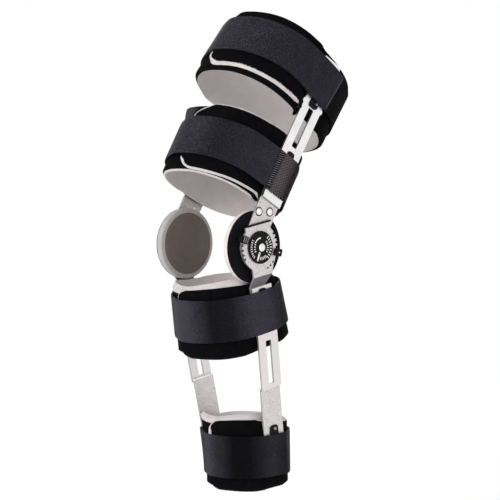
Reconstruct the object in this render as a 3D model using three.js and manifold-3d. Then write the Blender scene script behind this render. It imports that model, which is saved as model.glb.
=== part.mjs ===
// Post-operative knee brace: four padded wraps with straps, joined on both sides by flat metal
// uprights and a range-of-motion hinge, in a bent pose.
// Millimetres. The origin is midway between the two hinge pivots, +X is the side with the dial,
// -Y is the front of the leg and +Z is up.

import * as THREE from 'three';
import { mergeVertices } from 'three/addons/utils/BufferGeometryUtils.js';
import Module from 'manifold-3d';

const wasm = await Module();
wasm.setup();

// Lean of each half of the leg from upright, degrees
const THIGH_TILT = 30;
const SHIN_TILT = 10;

// Clearances
const GAP = 0.3;
const STRAP_GAP = 0.7;

// Padded wraps: foam sheet with bevelled edges, closed by a flap that overlaps in front
const FOAM = 5;
const FOAM_BEVEL = 4;
const FLAP_LIFT = FOAM + 0.4;
const INNER_FLAP_END = -30;
const OUTER_FLAP_END = -460;
const LIFT_START = -370;
const LIFT_END = -388;
const CORNER_STATIONS = [0, 0.08, 0.25, 0.5, 0.75];
const SHIFT_FADES_AT = -165;
const WRAP_STEPS = 84;
const DENT_MARGIN = 12;
const DENT_SLOPE = 0.6;

// Straps
const STRAP_WIDTH = 51;
const STRAP_THICK = 2.5;
const STRAP_STEPS = 72;
const HULL_STEP = 3;

// Sheet metal uprights
const PLATE = 2.5;
const BAR_WIDTH = 32;
const SLOT_WIDTH = 8.5;
const SLOT_CORNER = 1.5;
const BAR_CORNER = 2.5;
const EAR = 2;
const SHEET_REACH = 100;
const OVERRUN = 1;

// Condyle pads
const PAD_RADIUS = 43;
const PAD_INNER = 52.7;
const PAD_OUTER = 64.4;
const PAD_ROUND = 2.5;

// Layers of the uprights, as distances of their inner faces from the middle plane
const UPPER_ARM_AT = PAD_OUTER + GAP;
const THIGH_BAR_AT = UPPER_ARM_AT + PLATE + GAP;
const FACE_PLATE_AT = 70;
const LOWER_ARM_AT = 61.6;
const SHIN_BAR_AT = LOWER_ARM_AT + PLATE + GAP;

// Thigh side of the uprights, along the thigh from the pivot
const THIGH_BAR_BEHIND = -8;
const UPPER_DISC_RADIUS = 26;
const UPPER_ARM_TOP = 118;
const THIGH_BAR = { from: 56, to: 250, slotFrom: 130, slotTo: 183, bendAt: 124, lean: 0.06 };
const THIGH_EARS = { from: 184, to: 191 };
const RIVETS = [
  { name: 'rivet_front', behind: -18, along: 38 },
  { name: 'rivet_back', behind: -2.2, along: 46 },
];
const RIVET = { shank: 3, head: 4.6, rise: 1.6, crown: 0.75 };

// Shin side of the uprights, along the shin from the pivot (downwards is negative)
const FACE_RADIUS = 28.5;
const FACE_TOP = 26.5;
const FACE_TOP_HALF = 18.7;
const JOGGLE = { from: -34, to: -46 };
const LOWER_ARM_END = -99;
const SHIN_BAR = { from: -47, to: -172, slotFrom: -113, slotTo: -166, bendAt: -106, lean: 0.067 };
const ANKLE_PLATE = { from: -167.5, to: -274 };

// Rim notches where the two stops catch, in degrees from the back of the leg
const NOTCH = { width: 2.6, depth: 2.6 };
const NOTCH_ANGLES = [-11, 1, 13, 25, 164, 176, 188, 200];

// Hinge stack outside the arms
const PIN_RADIUS = 4;
const PIN_HEAD = { radius: 4.9, rise: 2 };
const WASHER_RADIUS = 13;
const DIAL = { radius: 19.5, thick: 2, round: 0.6 };
const STOPS = [
  { name: 'extension_stop', angle: 150 },
  { name: 'flexion_stop', angle: -24 },
];
const STOP = { inner: 23.5, outer: 33, width: 9, rise: 4.2, lip: 3.2, lipInset: 1, round: 2 };

// Segments round each kind of curve
const SEGMENTS = { pad: 48, dial: 40, pin: 24, rivet: 16, plate: 8, stop: 3, lip: 2 };

// One row for each wrap. along and behind place its middle on its half of the leg, tilt leans it
// further, halfWidth and halfDepth are its outer face, squareness fills out its four corners (2 is an
// ellipse), taper widens it per mm upwards, above and below are how far the foam passes the strap at
// the front and at the back, flapShift moves the inner flap along the leg, and corner holds the radii
// of the flaps' corners.
const CUFFS = {
  thigh_upper: {
    along: 223, behind: -15.5, tilt: 8.3, halfWidth: 77, halfDepth: 86, squareness: 2.35, taper: -0.035,
    above: { front: 9, back: 9 }, below: { front: 26, back: 25 }, flapShift: -6,
    corner: { top: 16, bottom: 9 },
  },
  thigh_lower: {
    along: 93.6, behind: -26.5, tilt: 1.6, halfWidth: 68, halfDepth: 71.5, squareness: 2.4, taper: 0,
    above: { front: 19, back: 22 }, below: { front: 21.5, back: 10 }, flapShift: -1,
    corner: { top: 22, bottom: 10 },
  },
  calf: {
    along: -77.5, behind: 4, tilt: -1.4, halfWidth: 62.5, halfDepth: 61.5, squareness: 2.3, taper: -0.06,
    above: { front: 10, back: 4 }, below: { front: 22, back: 19 }, flapShift: 6,
    corner: { top: 9, bottom: 12 },
  },
  ankle: {
    along: -256, behind: 3, tilt: 7.5, halfWidth: 51.8, halfDepth: 45.8, squareness: 2.15, taper: 0.015,
    above: { front: 15, back: 15 }, below: { front: 18, back: 16 }, flapShift: 8,
    corner: { top: 14, bottom: 12 },
  },
};

const RAD = Math.PI / 180;
const WELD = 1e-4;
const SIDES = [
  { name: 'lateral', sign: 1 },
  { name: 'medial', sign: -1 },
];

// Finishes
const finish = (color, roughness, metalness) =>
  new THREE.MeshStandardMaterial({ color, roughness, metalness });
const FOAM_FABRIC = finish(0x15151a, 0.95, 0);
const STRAP_FABRIC = finish(0x24242b, 0.7, 0);
const STEEL = finish(0xd2d2d4, 0.35, 1);
const PAD_FABRIC = finish(0x8d8684, 0.9, 0);
const BLACK_PLASTIC = finish(0x121214, 0.45, 0);

// Solids from geometry, and back
function solidOf(geometry) {
  const bare = geometry.clone();
  bare.deleteAttribute('normal');
  bare.deleteAttribute('uv');
  const merged = mergeVertices(bare, WELD);
  return new wasm.Manifold(new wasm.Mesh({
    numProp: 3,
    vertProperties: new Float32Array(merged.attributes.position.array),
    triVerts: new Uint32Array(merged.index.array),
  }));
}

function geometryOf(solid) {
  const mesh = solid.getMesh();
  const geometry = new THREE.BufferGeometry();
  geometry.setAttribute('position', new THREE.BufferAttribute(new Float32Array(mesh.vertProperties), 3));
  geometry.setIndex(new THREE.BufferAttribute(new Uint32Array(mesh.triVerts), 1));
  geometry.computeVertexNormals();
  return geometry;
}

// A closed skin through four-cornered sections: a ring, or a strip with two ends
function loft(sections, isRing) {
  const corners = sections[0].length;
  const positions = sections.flat().flatMap((point) => point.toArray());
  const index = [];
  const spans = isRing ? sections.length : sections.length - 1;
  for (let i = 0; i < spans; i += 1) {
    const here = i * corners;
    const next = ((i + 1) % sections.length) * corners;
    for (let j = 0; j < corners; j += 1) {
      const k = (j + 1) % corners;
      index.push(here + j, next + j, next + k, here + j, next + k, here + k);
    }
  }
  if (!isRing) {
    const last = (sections.length - 1) * corners;
    for (let j = 1; j < corners - 1; j += 1) {
      index.push(0, j, j + 1, last, last + j + 1, last + j);
    }
  }
  const geometry = new THREE.BufferGeometry();
  geometry.setAttribute('position', new THREE.Float32BufferAttribute(positions, 3));
  geometry.setIndex(index);
  geometry.computeVertexNormals();
  return geometry;
}

const mix = (from, to, share) => from + (to - from) * share;

// A bar's inner face at a place along the leg: straight up to its bend, then leaning outwards or in
function barFace(bar, at, along) {
  const past = bar.from < 0 ? bar.bendAt - along : along - bar.bendAt;
  const outwards = bar.from < 0 ? -1 : 1;
  return at + outwards * bar.lean * Math.max(past, 0);
}
const thighBarFace = (along) => barFace(THIGH_BAR, THIGH_BAR_AT, along);
const shinBarFace = (along) => barFace(SHIN_BAR, SHIN_BAR_AT, along);
const anklePlateFace = (along) => shinBarFace(along) - GAP - PLATE;

// What lies between each wrap and its strap: the metal's innermost and outermost faces
const STACKS = {
  thigh_upper: {
    inner: thighBarFace,
    outer: (along) => thighBarFace(along) + PLATE,
    behind: THIGH_BAR_BEHIND,
  },
  thigh_lower: {
    inner: () => UPPER_ARM_AT,
    outer: () => THIGH_BAR_AT + PLATE,
    behind: THIGH_BAR_BEHIND,
  },
  calf: {
    inner: () => LOWER_ARM_AT,
    outer: () => SHIN_BAR_AT + PLATE,
    behind: 0,
  },
  ankle: {
    inner: anklePlateFace,
    outer: (along) => anklePlateFace(along) + PLATE,
    behind: 0,
  },
};

// Where the uprights cross a wrap's own level: their middle, and their distance along the leg
function uprightAt(cuff, stack, level) {
  const tilt = cuff.tilt * RAD;
  const middle = (stack.behind - cuff.behind - level * Math.sin(tilt)) / Math.cos(tilt);
  const along = cuff.along - middle * Math.sin(tilt) + level * Math.cos(tilt);
  return { middle, along };
}

// The outer face of a wrap where it lies in one layer. Angle 0 is the dial side, 90 the back.
function outlinePoint(cuff, degrees, level) {
  const c = Math.cos(degrees * RAD);
  const s = Math.sin(degrees * RAD);
  const power = 2 / cuff.squareness;
  const spread = cuff.taper * level;
  return new THREE.Vector2(
    (cuff.halfWidth + spread) * Math.sign(c) * Math.abs(c) ** power,
    (cuff.halfDepth + spread) * Math.sign(s) * Math.abs(s) ** power,
  );
}

function outlineNormal(cuff, degrees, level) {
  const ahead = outlinePoint(cuff, degrees + 1, level);
  const tangent = ahead.sub(outlinePoint(cuff, degrees - 1, level)).normalize();
  return new THREE.Vector2(tangent.y, -tangent.x);
}

// A wrap's outer face with the flap lifted over its other end and the uprights pressed in
function wrapPoint(cuff, stack, degrees, level, depth) {
  const singleLayer = THREE.MathUtils.smoothstep(degrees, LIFT_END, LIFT_START);
  const lift = FLAP_LIFT * (1 - singleLayer);
  const normal = outlineNormal(cuff, degrees, level);
  const point = outlinePoint(cuff, degrees, level).addScaledVector(normal, lift);
  const { middle, along } = uprightAt(cuff, stack, level);
  const past = Math.max(Math.abs(point.y - middle) - BAR_WIDTH / 2 - DENT_MARGIN, 0);
  const room = stack.inner(along) - GAP + DENT_SLOPE * past;
  point.x = Math.sign(point.x) * Math.min(Math.abs(point.x), room);
  point.addScaledVector(normal, -depth);
  return new THREE.Vector3(point.x, point.y, level);
}

// How much of the height is lost to a flap's rounded corner, this far from its end
function cornerLoss(distance, corner) {
  const into = Math.max(corner - distance, 0);
  return corner - Math.sqrt(corner ** 2 - into ** 2);
}

function wrapGeometry(cuff, stack) {
  const sweep = INNER_FLAP_END - OUTER_FLAP_END;
  const radius = (cuff.halfWidth + cuff.halfDepth) / 2;
  const corner = Math.max(cuff.corner.top, cuff.corner.bottom) / radius / RAD;
  const bevel = FOAM_BEVEL / radius / RAD;
  const inset = CORNER_STATIONS.map((share) => share * corner);
  const stations = [...inset];
  for (let i = 0; i <= WRAP_STEPS; i += 1) {
    stations.push(mix(corner, sweep - corner, i / WRAP_STEPS));
  }
  stations.push(...inset.reverse().map((angle) => sweep - angle));
  const sections = stations.map((turned) => {
    const degrees = INNER_FLAP_END - turned;
    const fromEnd = Math.min(turned, sweep - turned) * RAD * radius;
    const back = (1 + Math.sin(degrees * RAD)) / 2;
    const shift = cuff.flapShift * THREE.MathUtils.smoothstep(degrees, SHIFT_FADES_AT, INNER_FLAP_END);
    const above = mix(cuff.above.front, cuff.above.back, back) - cornerLoss(fromEnd, cuff.corner.top);
    const below = mix(cuff.below.front, cuff.below.back, back) - cornerLoss(fromEnd, cuff.corner.bottom);
    const top = STRAP_WIDTH / 2 + above + shift;
    const bottom = shift - below - STRAP_WIDTH / 2;
    const face = THREE.MathUtils.clamp(degrees, OUTER_FLAP_END + bevel, INNER_FLAP_END - bevel);
    return [
      wrapPoint(cuff, stack, degrees, top, FOAM),
      wrapPoint(cuff, stack, face, top - FOAM_BEVEL, 0),
      wrapPoint(cuff, stack, face, bottom + FOAM_BEVEL, 0),
      wrapPoint(cuff, stack, degrees, bottom, FOAM),
    ];
  });
  return loft(sections, false);
}

// Convex hull of flat points, counter-clockwise
function hullOf(points) {
  const sorted = [...points].sort((p, q) => p.x - q.x || p.y - q.y);
  const halfHull = (list) => {
    const chain = [];
    for (const point of list) {
      while (chain.length > 1) {
        const [p, q] = chain.slice(-2);
        const turn = (q.x - p.x) * (point.y - p.y) - (q.y - p.y) * (point.x - p.x);
        if (turn > 0) break;
        chain.pop();
      }
      chain.push(point);
    }
    return chain.slice(0, -1);
  };
  return [...halfHull(sorted), ...halfHull(sorted.reverse())];
}

// Distance from the middle to a hull's edge in one direction
function reach(hull, degrees) {
  const way = new THREE.Vector2(Math.cos(degrees * RAD), Math.sin(degrees * RAD));
  for (let i = 0; i < hull.length; i += 1) {
    const p = hull[i];
    const edge = hull[(i + 1) % hull.length].clone().sub(p);
    const across = way.cross(edge);
    const share = way.cross(p) / -across;
    const distance = p.cross(edge) / across;
    if (share >= 0 && share <= 1 && distance > 0) return distance;
  }
  throw new Error('the strap has no hull to follow');
}

// The outer corners of the uprights where they cross a wrap's level
function uprightCorners(cuff, stack, level) {
  const { middle, along } = uprightAt(cuff, stack, level);
  return SIDES.flatMap(({ sign }) => [-1, 1].map(
    (end) => new THREE.Vector2(sign * stack.outer(along), middle + (end * BAR_WIDTH) / 2),
  ));
}

// A strap pulled tight takes the hull of the wrap and the uprights that it goes round
function strapHull(cuff, stack, level) {
  const points = [];
  for (let degrees = INNER_FLAP_END; degrees >= OUTER_FLAP_END; degrees -= HULL_STEP) {
    const point = wrapPoint(cuff, stack, degrees, level, 0);
    points.push(new THREE.Vector2(point.x, point.y));
  }
  return hullOf([...points, ...uprightCorners(cuff, stack, level)]);
}

// Even steps round a strap, with the nearest step moved onto each corner of the uprights
function strapAngles(cuff, stack, level) {
  const step = 360 / STRAP_STEPS;
  const angles = Array.from({ length: STRAP_STEPS }, (_, i) => i * step);
  const degreesOf = (corner) => corner.angle() / RAD;
  const middleCorners = uprightCorners(cuff, stack, 0).map(degreesOf);
  uprightCorners(cuff, stack, level).map(degreesOf).forEach((degrees, i) => {
    angles[Math.round(middleCorners[i] / step) % STRAP_STEPS] = degrees;
  });
  return angles;
}

function strapGeometry(cuff, stack) {
  const levels = [-STRAP_WIDTH / 2, STRAP_WIDTH / 2];
  const hulls = levels.map((level) => strapHull(cuff, stack, level));
  const angles = levels.map((level) => strapAngles(cuff, stack, level));
  const sections = [];
  for (let i = 0; i < STRAP_STEPS; i += 1) {
    const corner = (end, extra) => {
      const degrees = angles[end][i];
      const radius = reach(hulls[end], degrees) + STRAP_GAP + extra;
      return new THREE.Vector3(
        radius * Math.cos(degrees * RAD), radius * Math.sin(degrees * RAD), levels[end],
      );
    };
    sections.push([corner(0, 0), corner(0, STRAP_THICK), corner(1, STRAP_THICK), corner(1, 0)]);
  }
  return loft(sections, true);
}

// Sheet metal: an outline seen from the side, bent to a profile of [along, inner face] points
const SIDE_TO_WORLD = new THREE.Matrix4().set(0, 0, 1, 0, 1, 0, 0, 0, 0, 1, 0, 0, 0, 0, 0, 1);

function sidePrism(outline, from, depth, curveSegments) {
  const prism = new THREE.ExtrudeGeometry(outline, { depth, bevelEnabled: false, curveSegments });
  return prism.translate(0, 0, from).applyMatrix4(SIDE_TO_WORLD);
}

function sheetMetal(outline, profile, sign) {
  const inner = profile.map(([along, face]) => new THREE.Vector2(sign * face, along));
  const outer = profile.map(([along, face]) => new THREE.Vector2(sign * (face + PLATE), along));
  const slab = new THREE.ExtrudeGeometry(
    new THREE.Shape([...inner, ...outer.reverse()]),
    { depth: 2 * SHEET_REACH, bevelEnabled: false },
  ).translate(0, 0, -SHEET_REACH).rotateX(Math.PI / 2);
  const prism = sidePrism(outline, -SHEET_REACH, 2 * SHEET_REACH, SEGMENTS.plate);
  return geometryOf(solidOf(slab).intersect(solidOf(prism)));
}

function roundedBox(path, left, right, bottom, top, radius) {
  path.moveTo(left + radius, bottom);
  path.lineTo(right - radius, bottom);
  path.absarc(right - radius, bottom + radius, radius, -Math.PI / 2, 0, false);
  path.lineTo(right, top - radius);
  path.absarc(right - radius, top - radius, radius, 0, Math.PI / 2, false);
  path.lineTo(left + radius, top);
  path.absarc(left + radius, top - radius, radius, Math.PI / 2, Math.PI, false);
  path.lineTo(left, bottom + radius);
  path.absarc(left + radius, bottom + radius, radius, Math.PI, 1.5 * Math.PI, false);
  return path;
}

function roundHole(outline, behind, along, radius) {
  const hole = new THREE.Path();
  hole.absarc(behind, along, radius, 0, 2 * Math.PI, true);
  outline.holes.push(hole);
}

function slotHole(outline, behind, from, to) {
  const half = SLOT_WIDTH / 2;
  outline.holes.push(roundedBox(new THREE.Path(), behind - half, behind + half, from, to, SLOT_CORNER));
}

function upperArm(sign) {
  const front = THIGH_BAR_BEHIND - BAR_WIDTH / 2;
  const back = THIGH_BAR_BEHIND + BAR_WIDTH / 2;
  const outline = new THREE.Shape();
  outline.moveTo(back, UPPER_ARM_TOP);
  outline.lineTo(front, UPPER_ARM_TOP);
  const frontAngle = Math.acos(front / UPPER_DISC_RADIUS);
  const backAngle = Math.acos(back / UPPER_DISC_RADIUS);
  outline.absarc(0, 0, UPPER_DISC_RADIUS, frontAngle, backAngle + 2 * Math.PI, false);
  outline.closePath();
  roundHole(outline, 0, 0, PIN_RADIUS + GAP);
  RIVETS.forEach(({ behind, along }) => roundHole(outline, behind, along, RIVET.shank + GAP));
  const ends = [-SHEET_REACH, UPPER_ARM_TOP + OVERRUN];
  return sheetMetal(outline, ends.map((along) => [along, UPPER_ARM_AT]), sign);
}

function thighBar(sign) {
  const front = THIGH_BAR_BEHIND - BAR_WIDTH / 2;
  const back = THIGH_BAR_BEHIND + BAR_WIDTH / 2;
  const outline = new THREE.Shape();
  outline.moveTo(front, THIGH_BAR.from);
  outline.lineTo(back, THIGH_BAR.from);
  outline.lineTo(back, THIGH_EARS.from);
  outline.lineTo(back + EAR, THIGH_EARS.from + EAR);
  outline.lineTo(back + EAR, THIGH_EARS.to - EAR);
  outline.lineTo(back, THIGH_EARS.to);
  outline.lineTo(back, THIGH_BAR.to - BAR_CORNER);
  outline.lineTo(back - BAR_CORNER, THIGH_BAR.to);
  outline.lineTo(front + BAR_CORNER, THIGH_BAR.to);
  outline.lineTo(front, THIGH_BAR.to - BAR_CORNER);
  outline.lineTo(front, THIGH_EARS.to);
  outline.lineTo(front - EAR, THIGH_EARS.to - EAR);
  outline.lineTo(front - EAR, THIGH_EARS.from + EAR);
  outline.lineTo(front, THIGH_EARS.from);
  outline.closePath();
  slotHole(outline, THIGH_BAR_BEHIND, THIGH_BAR.slotFrom, THIGH_BAR.slotTo);
  const bends = [THIGH_BAR.from - OVERRUN, THIGH_BAR.bendAt, THIGH_BAR.to + OVERRUN];
  return sheetMetal(outline, bends.map((along) => [along, thighBarFace(along)]), sign);
}

// The lower arm with the hinge's round face, its flat top and the notches in its rim
function lowerArm(sign) {
  const half = BAR_WIDTH / 2;
  const outline = new THREE.Shape();
  outline.moveTo(half, LOWER_ARM_END);
  const tongue = Math.acos(half / FACE_RADIUS);
  const shoulder = Math.acos(FACE_TOP_HALF / FACE_RADIUS);
  outline.absarc(0, 0, FACE_RADIUS, -tongue, shoulder, false);
  outline.lineTo(FACE_TOP_HALF, FACE_TOP);
  outline.lineTo(-FACE_TOP_HALF, FACE_TOP);
  outline.absarc(0, 0, FACE_RADIUS, Math.PI - shoulder, Math.PI + tongue, false);
  outline.lineTo(-half, LOWER_ARM_END);
  outline.closePath();
  roundHole(outline, 0, 0, PIN_RADIUS + GAP);
  const arm = sheetMetal(outline, [
    [LOWER_ARM_END - OVERRUN, LOWER_ARM_AT],
    [JOGGLE.to, LOWER_ARM_AT],
    [JOGGLE.from, FACE_PLATE_AT],
    [SHEET_REACH, FACE_PLATE_AT],
  ], sign);
  return geometryOf(NOTCH_ANGLES.reduce((solid, angle) => {
    const notch = new THREE.BoxGeometry(SHEET_REACH, 2 * NOTCH.depth, NOTCH.width);
    notch.translate(sign * FACE_PLATE_AT, FACE_RADIUS, 0).rotateX(angle * RAD);
    return solid.subtract(solidOf(notch));
  }, solidOf(arm)));
}

function shinBar(sign) {
  const half = BAR_WIDTH / 2;
  const outline = new THREE.Shape();
  outline.moveTo(-half, SHIN_BAR.to);
  outline.lineTo(half, SHIN_BAR.to);
  outline.lineTo(half, SHIN_BAR.from);
  outline.lineTo(-half, SHIN_BAR.from);
  outline.closePath();
  slotHole(outline, 0, SHIN_BAR.slotTo, SHIN_BAR.slotFrom);
  const bends = [SHIN_BAR.to - OVERRUN, SHIN_BAR.bendAt, SHIN_BAR.from + OVERRUN];
  return sheetMetal(outline, bends.map((along) => [along, shinBarFace(along)]), sign);
}

function anklePlate(sign) {
  const half = BAR_WIDTH / 2;
  const outline = new THREE.Shape();
  outline.moveTo(-half + BAR_CORNER, ANKLE_PLATE.to);
  outline.lineTo(half - BAR_CORNER, ANKLE_PLATE.to);
  outline.lineTo(half, ANKLE_PLATE.to + BAR_CORNER);
  outline.lineTo(half, ANKLE_PLATE.from);
  outline.lineTo(-half, ANKLE_PLATE.from);
  outline.lineTo(-half, ANKLE_PLATE.to + BAR_CORNER);
  outline.closePath();
  const ends = [ANKLE_PLATE.to - OVERRUN, ANKLE_PLATE.from + OVERRUN];
  return sheetMetal(outline, ends.map((along) => [along, anklePlateFace(along)]), sign);
}

// Round pieces: a profile of [radius, distance from the middle plane] turned about the hinge line
function turned(profile, sign, segments) {
  const points = profile.map(([radius, out]) => new THREE.Vector2(radius, out));
  return new THREE.LatheGeometry(points, segments).rotateZ((-sign * Math.PI) / 2);
}

function condylePad(sign) {
  const soft = PAD_ROUND * (1 - Math.SQRT1_2);
  return turned([
    [0, PAD_INNER],
    [PAD_RADIUS - PAD_ROUND, PAD_INNER],
    [PAD_RADIUS - soft, PAD_INNER + soft],
    [PAD_RADIUS, PAD_INNER + PAD_ROUND],
    [PAD_RADIUS, PAD_OUTER - PAD_ROUND],
    [PAD_RADIUS - soft, PAD_OUTER - soft],
    [PAD_RADIUS - PAD_ROUND, PAD_OUTER],
    [0, PAD_OUTER],
  ], sign, SEGMENTS.pad);
}

function washer(sign) {
  const inner = PIN_RADIUS + GAP;
  const from = UPPER_ARM_AT + PLATE + GAP;
  const to = FACE_PLATE_AT - GAP;
  return turned([
    [inner, from],
    [WASHER_RADIUS, from],
    [WASHER_RADIUS, to],
    [inner, to],
    [inner, from],
  ], sign, SEGMENTS.pin);
}

function pivotPin(sign, seat) {
  return turned([
    [0, UPPER_ARM_AT],
    [PIN_RADIUS, UPPER_ARM_AT],
    [PIN_RADIUS, seat + GAP],
    [PIN_HEAD.radius, seat + GAP],
    [PIN_HEAD.radius, seat + GAP + PIN_HEAD.rise / 2],
    [PIN_RADIUS, seat + GAP + PIN_HEAD.rise],
    [0, seat + GAP + PIN_HEAD.rise],
  ], sign, SEGMENTS.pin);
}

function dialFace(seat) {
  const inner = PIN_RADIUS + GAP;
  const top = seat + DIAL.thick;
  return turned([
    [inner, seat],
    [DIAL.radius, seat],
    [DIAL.radius, top - DIAL.round],
    [DIAL.radius - DIAL.round, top],
    [inner, top],
    [inner, seat],
  ], 1, SEGMENTS.dial);
}

function rivet(sign) {
  const seat = UPPER_ARM_AT + PLATE + GAP;
  return turned([
    [0, UPPER_ARM_AT],
    [RIVET.shank, UPPER_ARM_AT],
    [RIVET.shank, seat],
    [RIVET.head, seat],
    [RIVET.head * RIVET.crown, seat + RIVET.rise * RIVET.crown],
    [0, seat + RIVET.rise],
  ], sign, SEGMENTS.rivet);
}

// A stop button: a block on the hinge's face with a lip over its rim
function stopButton(angle) {
  const seat = FACE_PLATE_AT + PLATE + GAP;
  const half = STOP.width / 2;
  const lipHalf = half - STOP.lipInset;
  const rim = FACE_RADIUS + 2 * GAP;
  const cap = roundedBox(new THREE.Shape(), STOP.inner, STOP.outer, -half, half, STOP.round);
  const lip = roundedBox(new THREE.Shape(), rim, STOP.outer, -lipHalf, lipHalf, STOP.round / 2);
  const capSolid = solidOf(sidePrism(cap, seat, STOP.rise, SEGMENTS.stop));
  const lipSolid = solidOf(sidePrism(lip, seat - STOP.lip, STOP.lip + OVERRUN, SEGMENTS.lip));
  return geometryOf(capSolid.add(lipSolid)).rotateX(angle * RAD);
}

// The assembly
const brace = new THREE.Group();
const thigh = new THREE.Group();
const shin = new THREE.Group();
thigh.rotation.x = -THIGH_TILT * RAD;
shin.rotation.x = SHIN_TILT * RAD;
brace.add(thigh, shin);

function place(group, name, geometry, material) {
  const mesh = new THREE.Mesh(geometry, material);
  mesh.name = name;
  group.add(mesh);
  return mesh;
}

for (const [name, cuff] of Object.entries(CUFFS)) {
  const stack = STACKS[name];
  const group = new THREE.Group();
  group.position.set(0, cuff.behind, cuff.along);
  group.rotation.x = -cuff.tilt * RAD;
  place(group, `${name}_wrap`, wrapGeometry(cuff, stack), FOAM_FABRIC);
  place(group, `${name}_strap`, strapGeometry(cuff, stack), STRAP_FABRIC);
  (cuff.along > 0 ? thigh : shin).add(group);
}

const faceSeat = FACE_PLATE_AT + PLATE + GAP;
for (const { name, sign } of SIDES) {
  const hasDial = sign > 0;
  place(thigh, `condyle_pad_${name}`, condylePad(sign), PAD_FABRIC);
  place(thigh, `upper_arm_${name}`, upperArm(sign), STEEL);
  place(thigh, `thigh_bar_${name}`, thighBar(sign), STEEL);
  place(thigh, `hinge_washer_${name}`, washer(sign), STEEL);
  const pinSeat = hasDial ? faceSeat + DIAL.thick : faceSeat - GAP;
  place(thigh, `pivot_pin_${name}`, pivotPin(sign, pinSeat), STEEL);
  for (const { name: which, behind, along } of RIVETS) {
    place(thigh, `${which}_${name}`, rivet(sign), STEEL).position.set(0, behind, along);
  }
  place(shin, `lower_arm_${name}`, lowerArm(sign), STEEL);
  place(shin, `shin_bar_${name}`, shinBar(sign), STEEL);
  place(shin, `ankle_plate_${name}`, anklePlate(sign), STEEL);
}
place(shin, 'dial', dialFace(faceSeat), BLACK_PLASTIC);
for (const { name, angle } of STOPS) {
  place(shin, name, stopButton(angle), BLACK_PLASTIC);
}

export default brace;
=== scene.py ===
"""Looks of a post-operative knee brace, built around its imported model.

Four padded wraps with straps, flat metal uprights and a range-of-motion hinge, in a small studio.
Metres, +Z up, -Y to the front of the leg, +X to the side with the dial.
"""

import math

import bmesh
import bpy
from mathutils import Matrix, Vector, noise
from mathutils.bvhtree import BVHTree
from mathutils.kdtree import KDTree


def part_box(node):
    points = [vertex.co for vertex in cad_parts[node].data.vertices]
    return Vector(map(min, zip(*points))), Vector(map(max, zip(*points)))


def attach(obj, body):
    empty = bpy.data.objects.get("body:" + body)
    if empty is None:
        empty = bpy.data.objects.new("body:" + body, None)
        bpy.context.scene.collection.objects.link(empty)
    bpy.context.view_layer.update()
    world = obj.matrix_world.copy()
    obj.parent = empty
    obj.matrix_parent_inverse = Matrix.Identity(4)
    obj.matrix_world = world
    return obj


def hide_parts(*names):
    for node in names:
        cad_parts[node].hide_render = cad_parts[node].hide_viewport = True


bl_info = {
    "name": "Post-operative knee brace",
    "version": (1, 0, 0),
    "blender": (4, 5, 0),
    "location": "View3D > Sidebar > Knee brace",
    "description": "Dresses the packed knee brace with cloth, foam, metal and a studio",
    "category": "Object",
}

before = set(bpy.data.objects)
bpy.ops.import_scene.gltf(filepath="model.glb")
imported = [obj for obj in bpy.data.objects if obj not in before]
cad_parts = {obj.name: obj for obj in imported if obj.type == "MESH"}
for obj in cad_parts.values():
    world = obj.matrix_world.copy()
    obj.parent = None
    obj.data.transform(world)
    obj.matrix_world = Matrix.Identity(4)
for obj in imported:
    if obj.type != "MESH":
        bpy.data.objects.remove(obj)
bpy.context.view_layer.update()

# What counts as touching, level, flat or sharp, and how many steps round an edge
WELD = 1e-5
CUT_NEAR = 1e-6
LEVEL_GAP = 0.001
COPLANAR = math.radians(0.5)
JOIN_ANGLE = math.radians(40)
SHARP = math.radians(35)
EASED_SEGMENTS = 2
MOULDED_SEGMENTS = 3

STRAP_HALF = 0.0255
BAR_WIDTH = 0.032
SIDES = {"lateral": 1, "medial": -1}

# Each half of the leg: its lean in the world, and how far behind its middle line the bars lie
LEGS = {
    "thigh": Matrix.Rotation(math.radians(-30), 4, "X"),
    "shin": Matrix.Rotation(math.radians(10), 4, "X"),
}
BAR_BEHIND = {"thigh": -0.008, "shin": 0.0}

# One row for each wrap: where its middle is on the leg, its further lean, half of its width and depth,
# how full its four corners are (2 is an ellipse), the length of the strap round it, how far the strap hangs
# down in front, where its inner and outer flaps end in degrees, how many more degrees the outer one ends at
# its top, how many degrees its top corner is cut back, and how its lower corner is rounded off, as degrees
# along it and height
CUFFS = {
    "thigh_upper": {
        "leg": "thigh", "body": "thigh_end", "along": 0.223, "behind": -0.0155, "lean": 8.3,
        "half": (0.077, 0.086), "squareness": 2.35, "girth": 0.544,
        "sag": 0.0055, "inner": 20, "tip": -461, "tip_lean": 0, "cut": 0, "curl": (11, 0.008),
    },
    "thigh_lower": {
        "leg": "thigh", "body": "thigh", "along": 0.0936, "behind": -0.0265, "lean": 1.6,
        "half": (0.068, 0.0715), "squareness": 2.4, "girth": 0.477,
        "sag": 0.0035, "inner": 28, "tip": -457, "tip_lean": -4, "cut": 10, "curl": (20, 0.0095),
    },
    "calf": {
        "leg": "shin", "body": "shin", "along": -0.0775, "behind": 0.004, "lean": -1.4,
        "half": (0.0625, 0.0615), "squareness": 2.3, "girth": 0.426,
        "sag": 0.0, "inner": 8, "tip": -466, "tip_lean": 0, "cut": 0, "curl": (8, 0.002),
    },
    "ankle": {
        "leg": "shin", "body": "shin_end", "along": -0.256, "behind": 0.003, "lean": 7.5,
        "half": (0.0518, 0.0458), "squareness": 2.15, "girth": 0.335,
        "sag": 0.0, "inner": 8, "tip": -468, "tip_lean": 0, "cut": 0, "curl": (8, 0.002),
    },
}

# Wraps: zones of their faces, and how they are cut up before they swell
COVER, EDGE, LINING = 0, 1, 2
TALL = 0.02
WRAP_ROWS = 12
EDGE_SEGMENTS = 2
CAP_FACING = 0.85
BAR_CLEAR = 0.030
RIPPLE_SEED = 11.3

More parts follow.
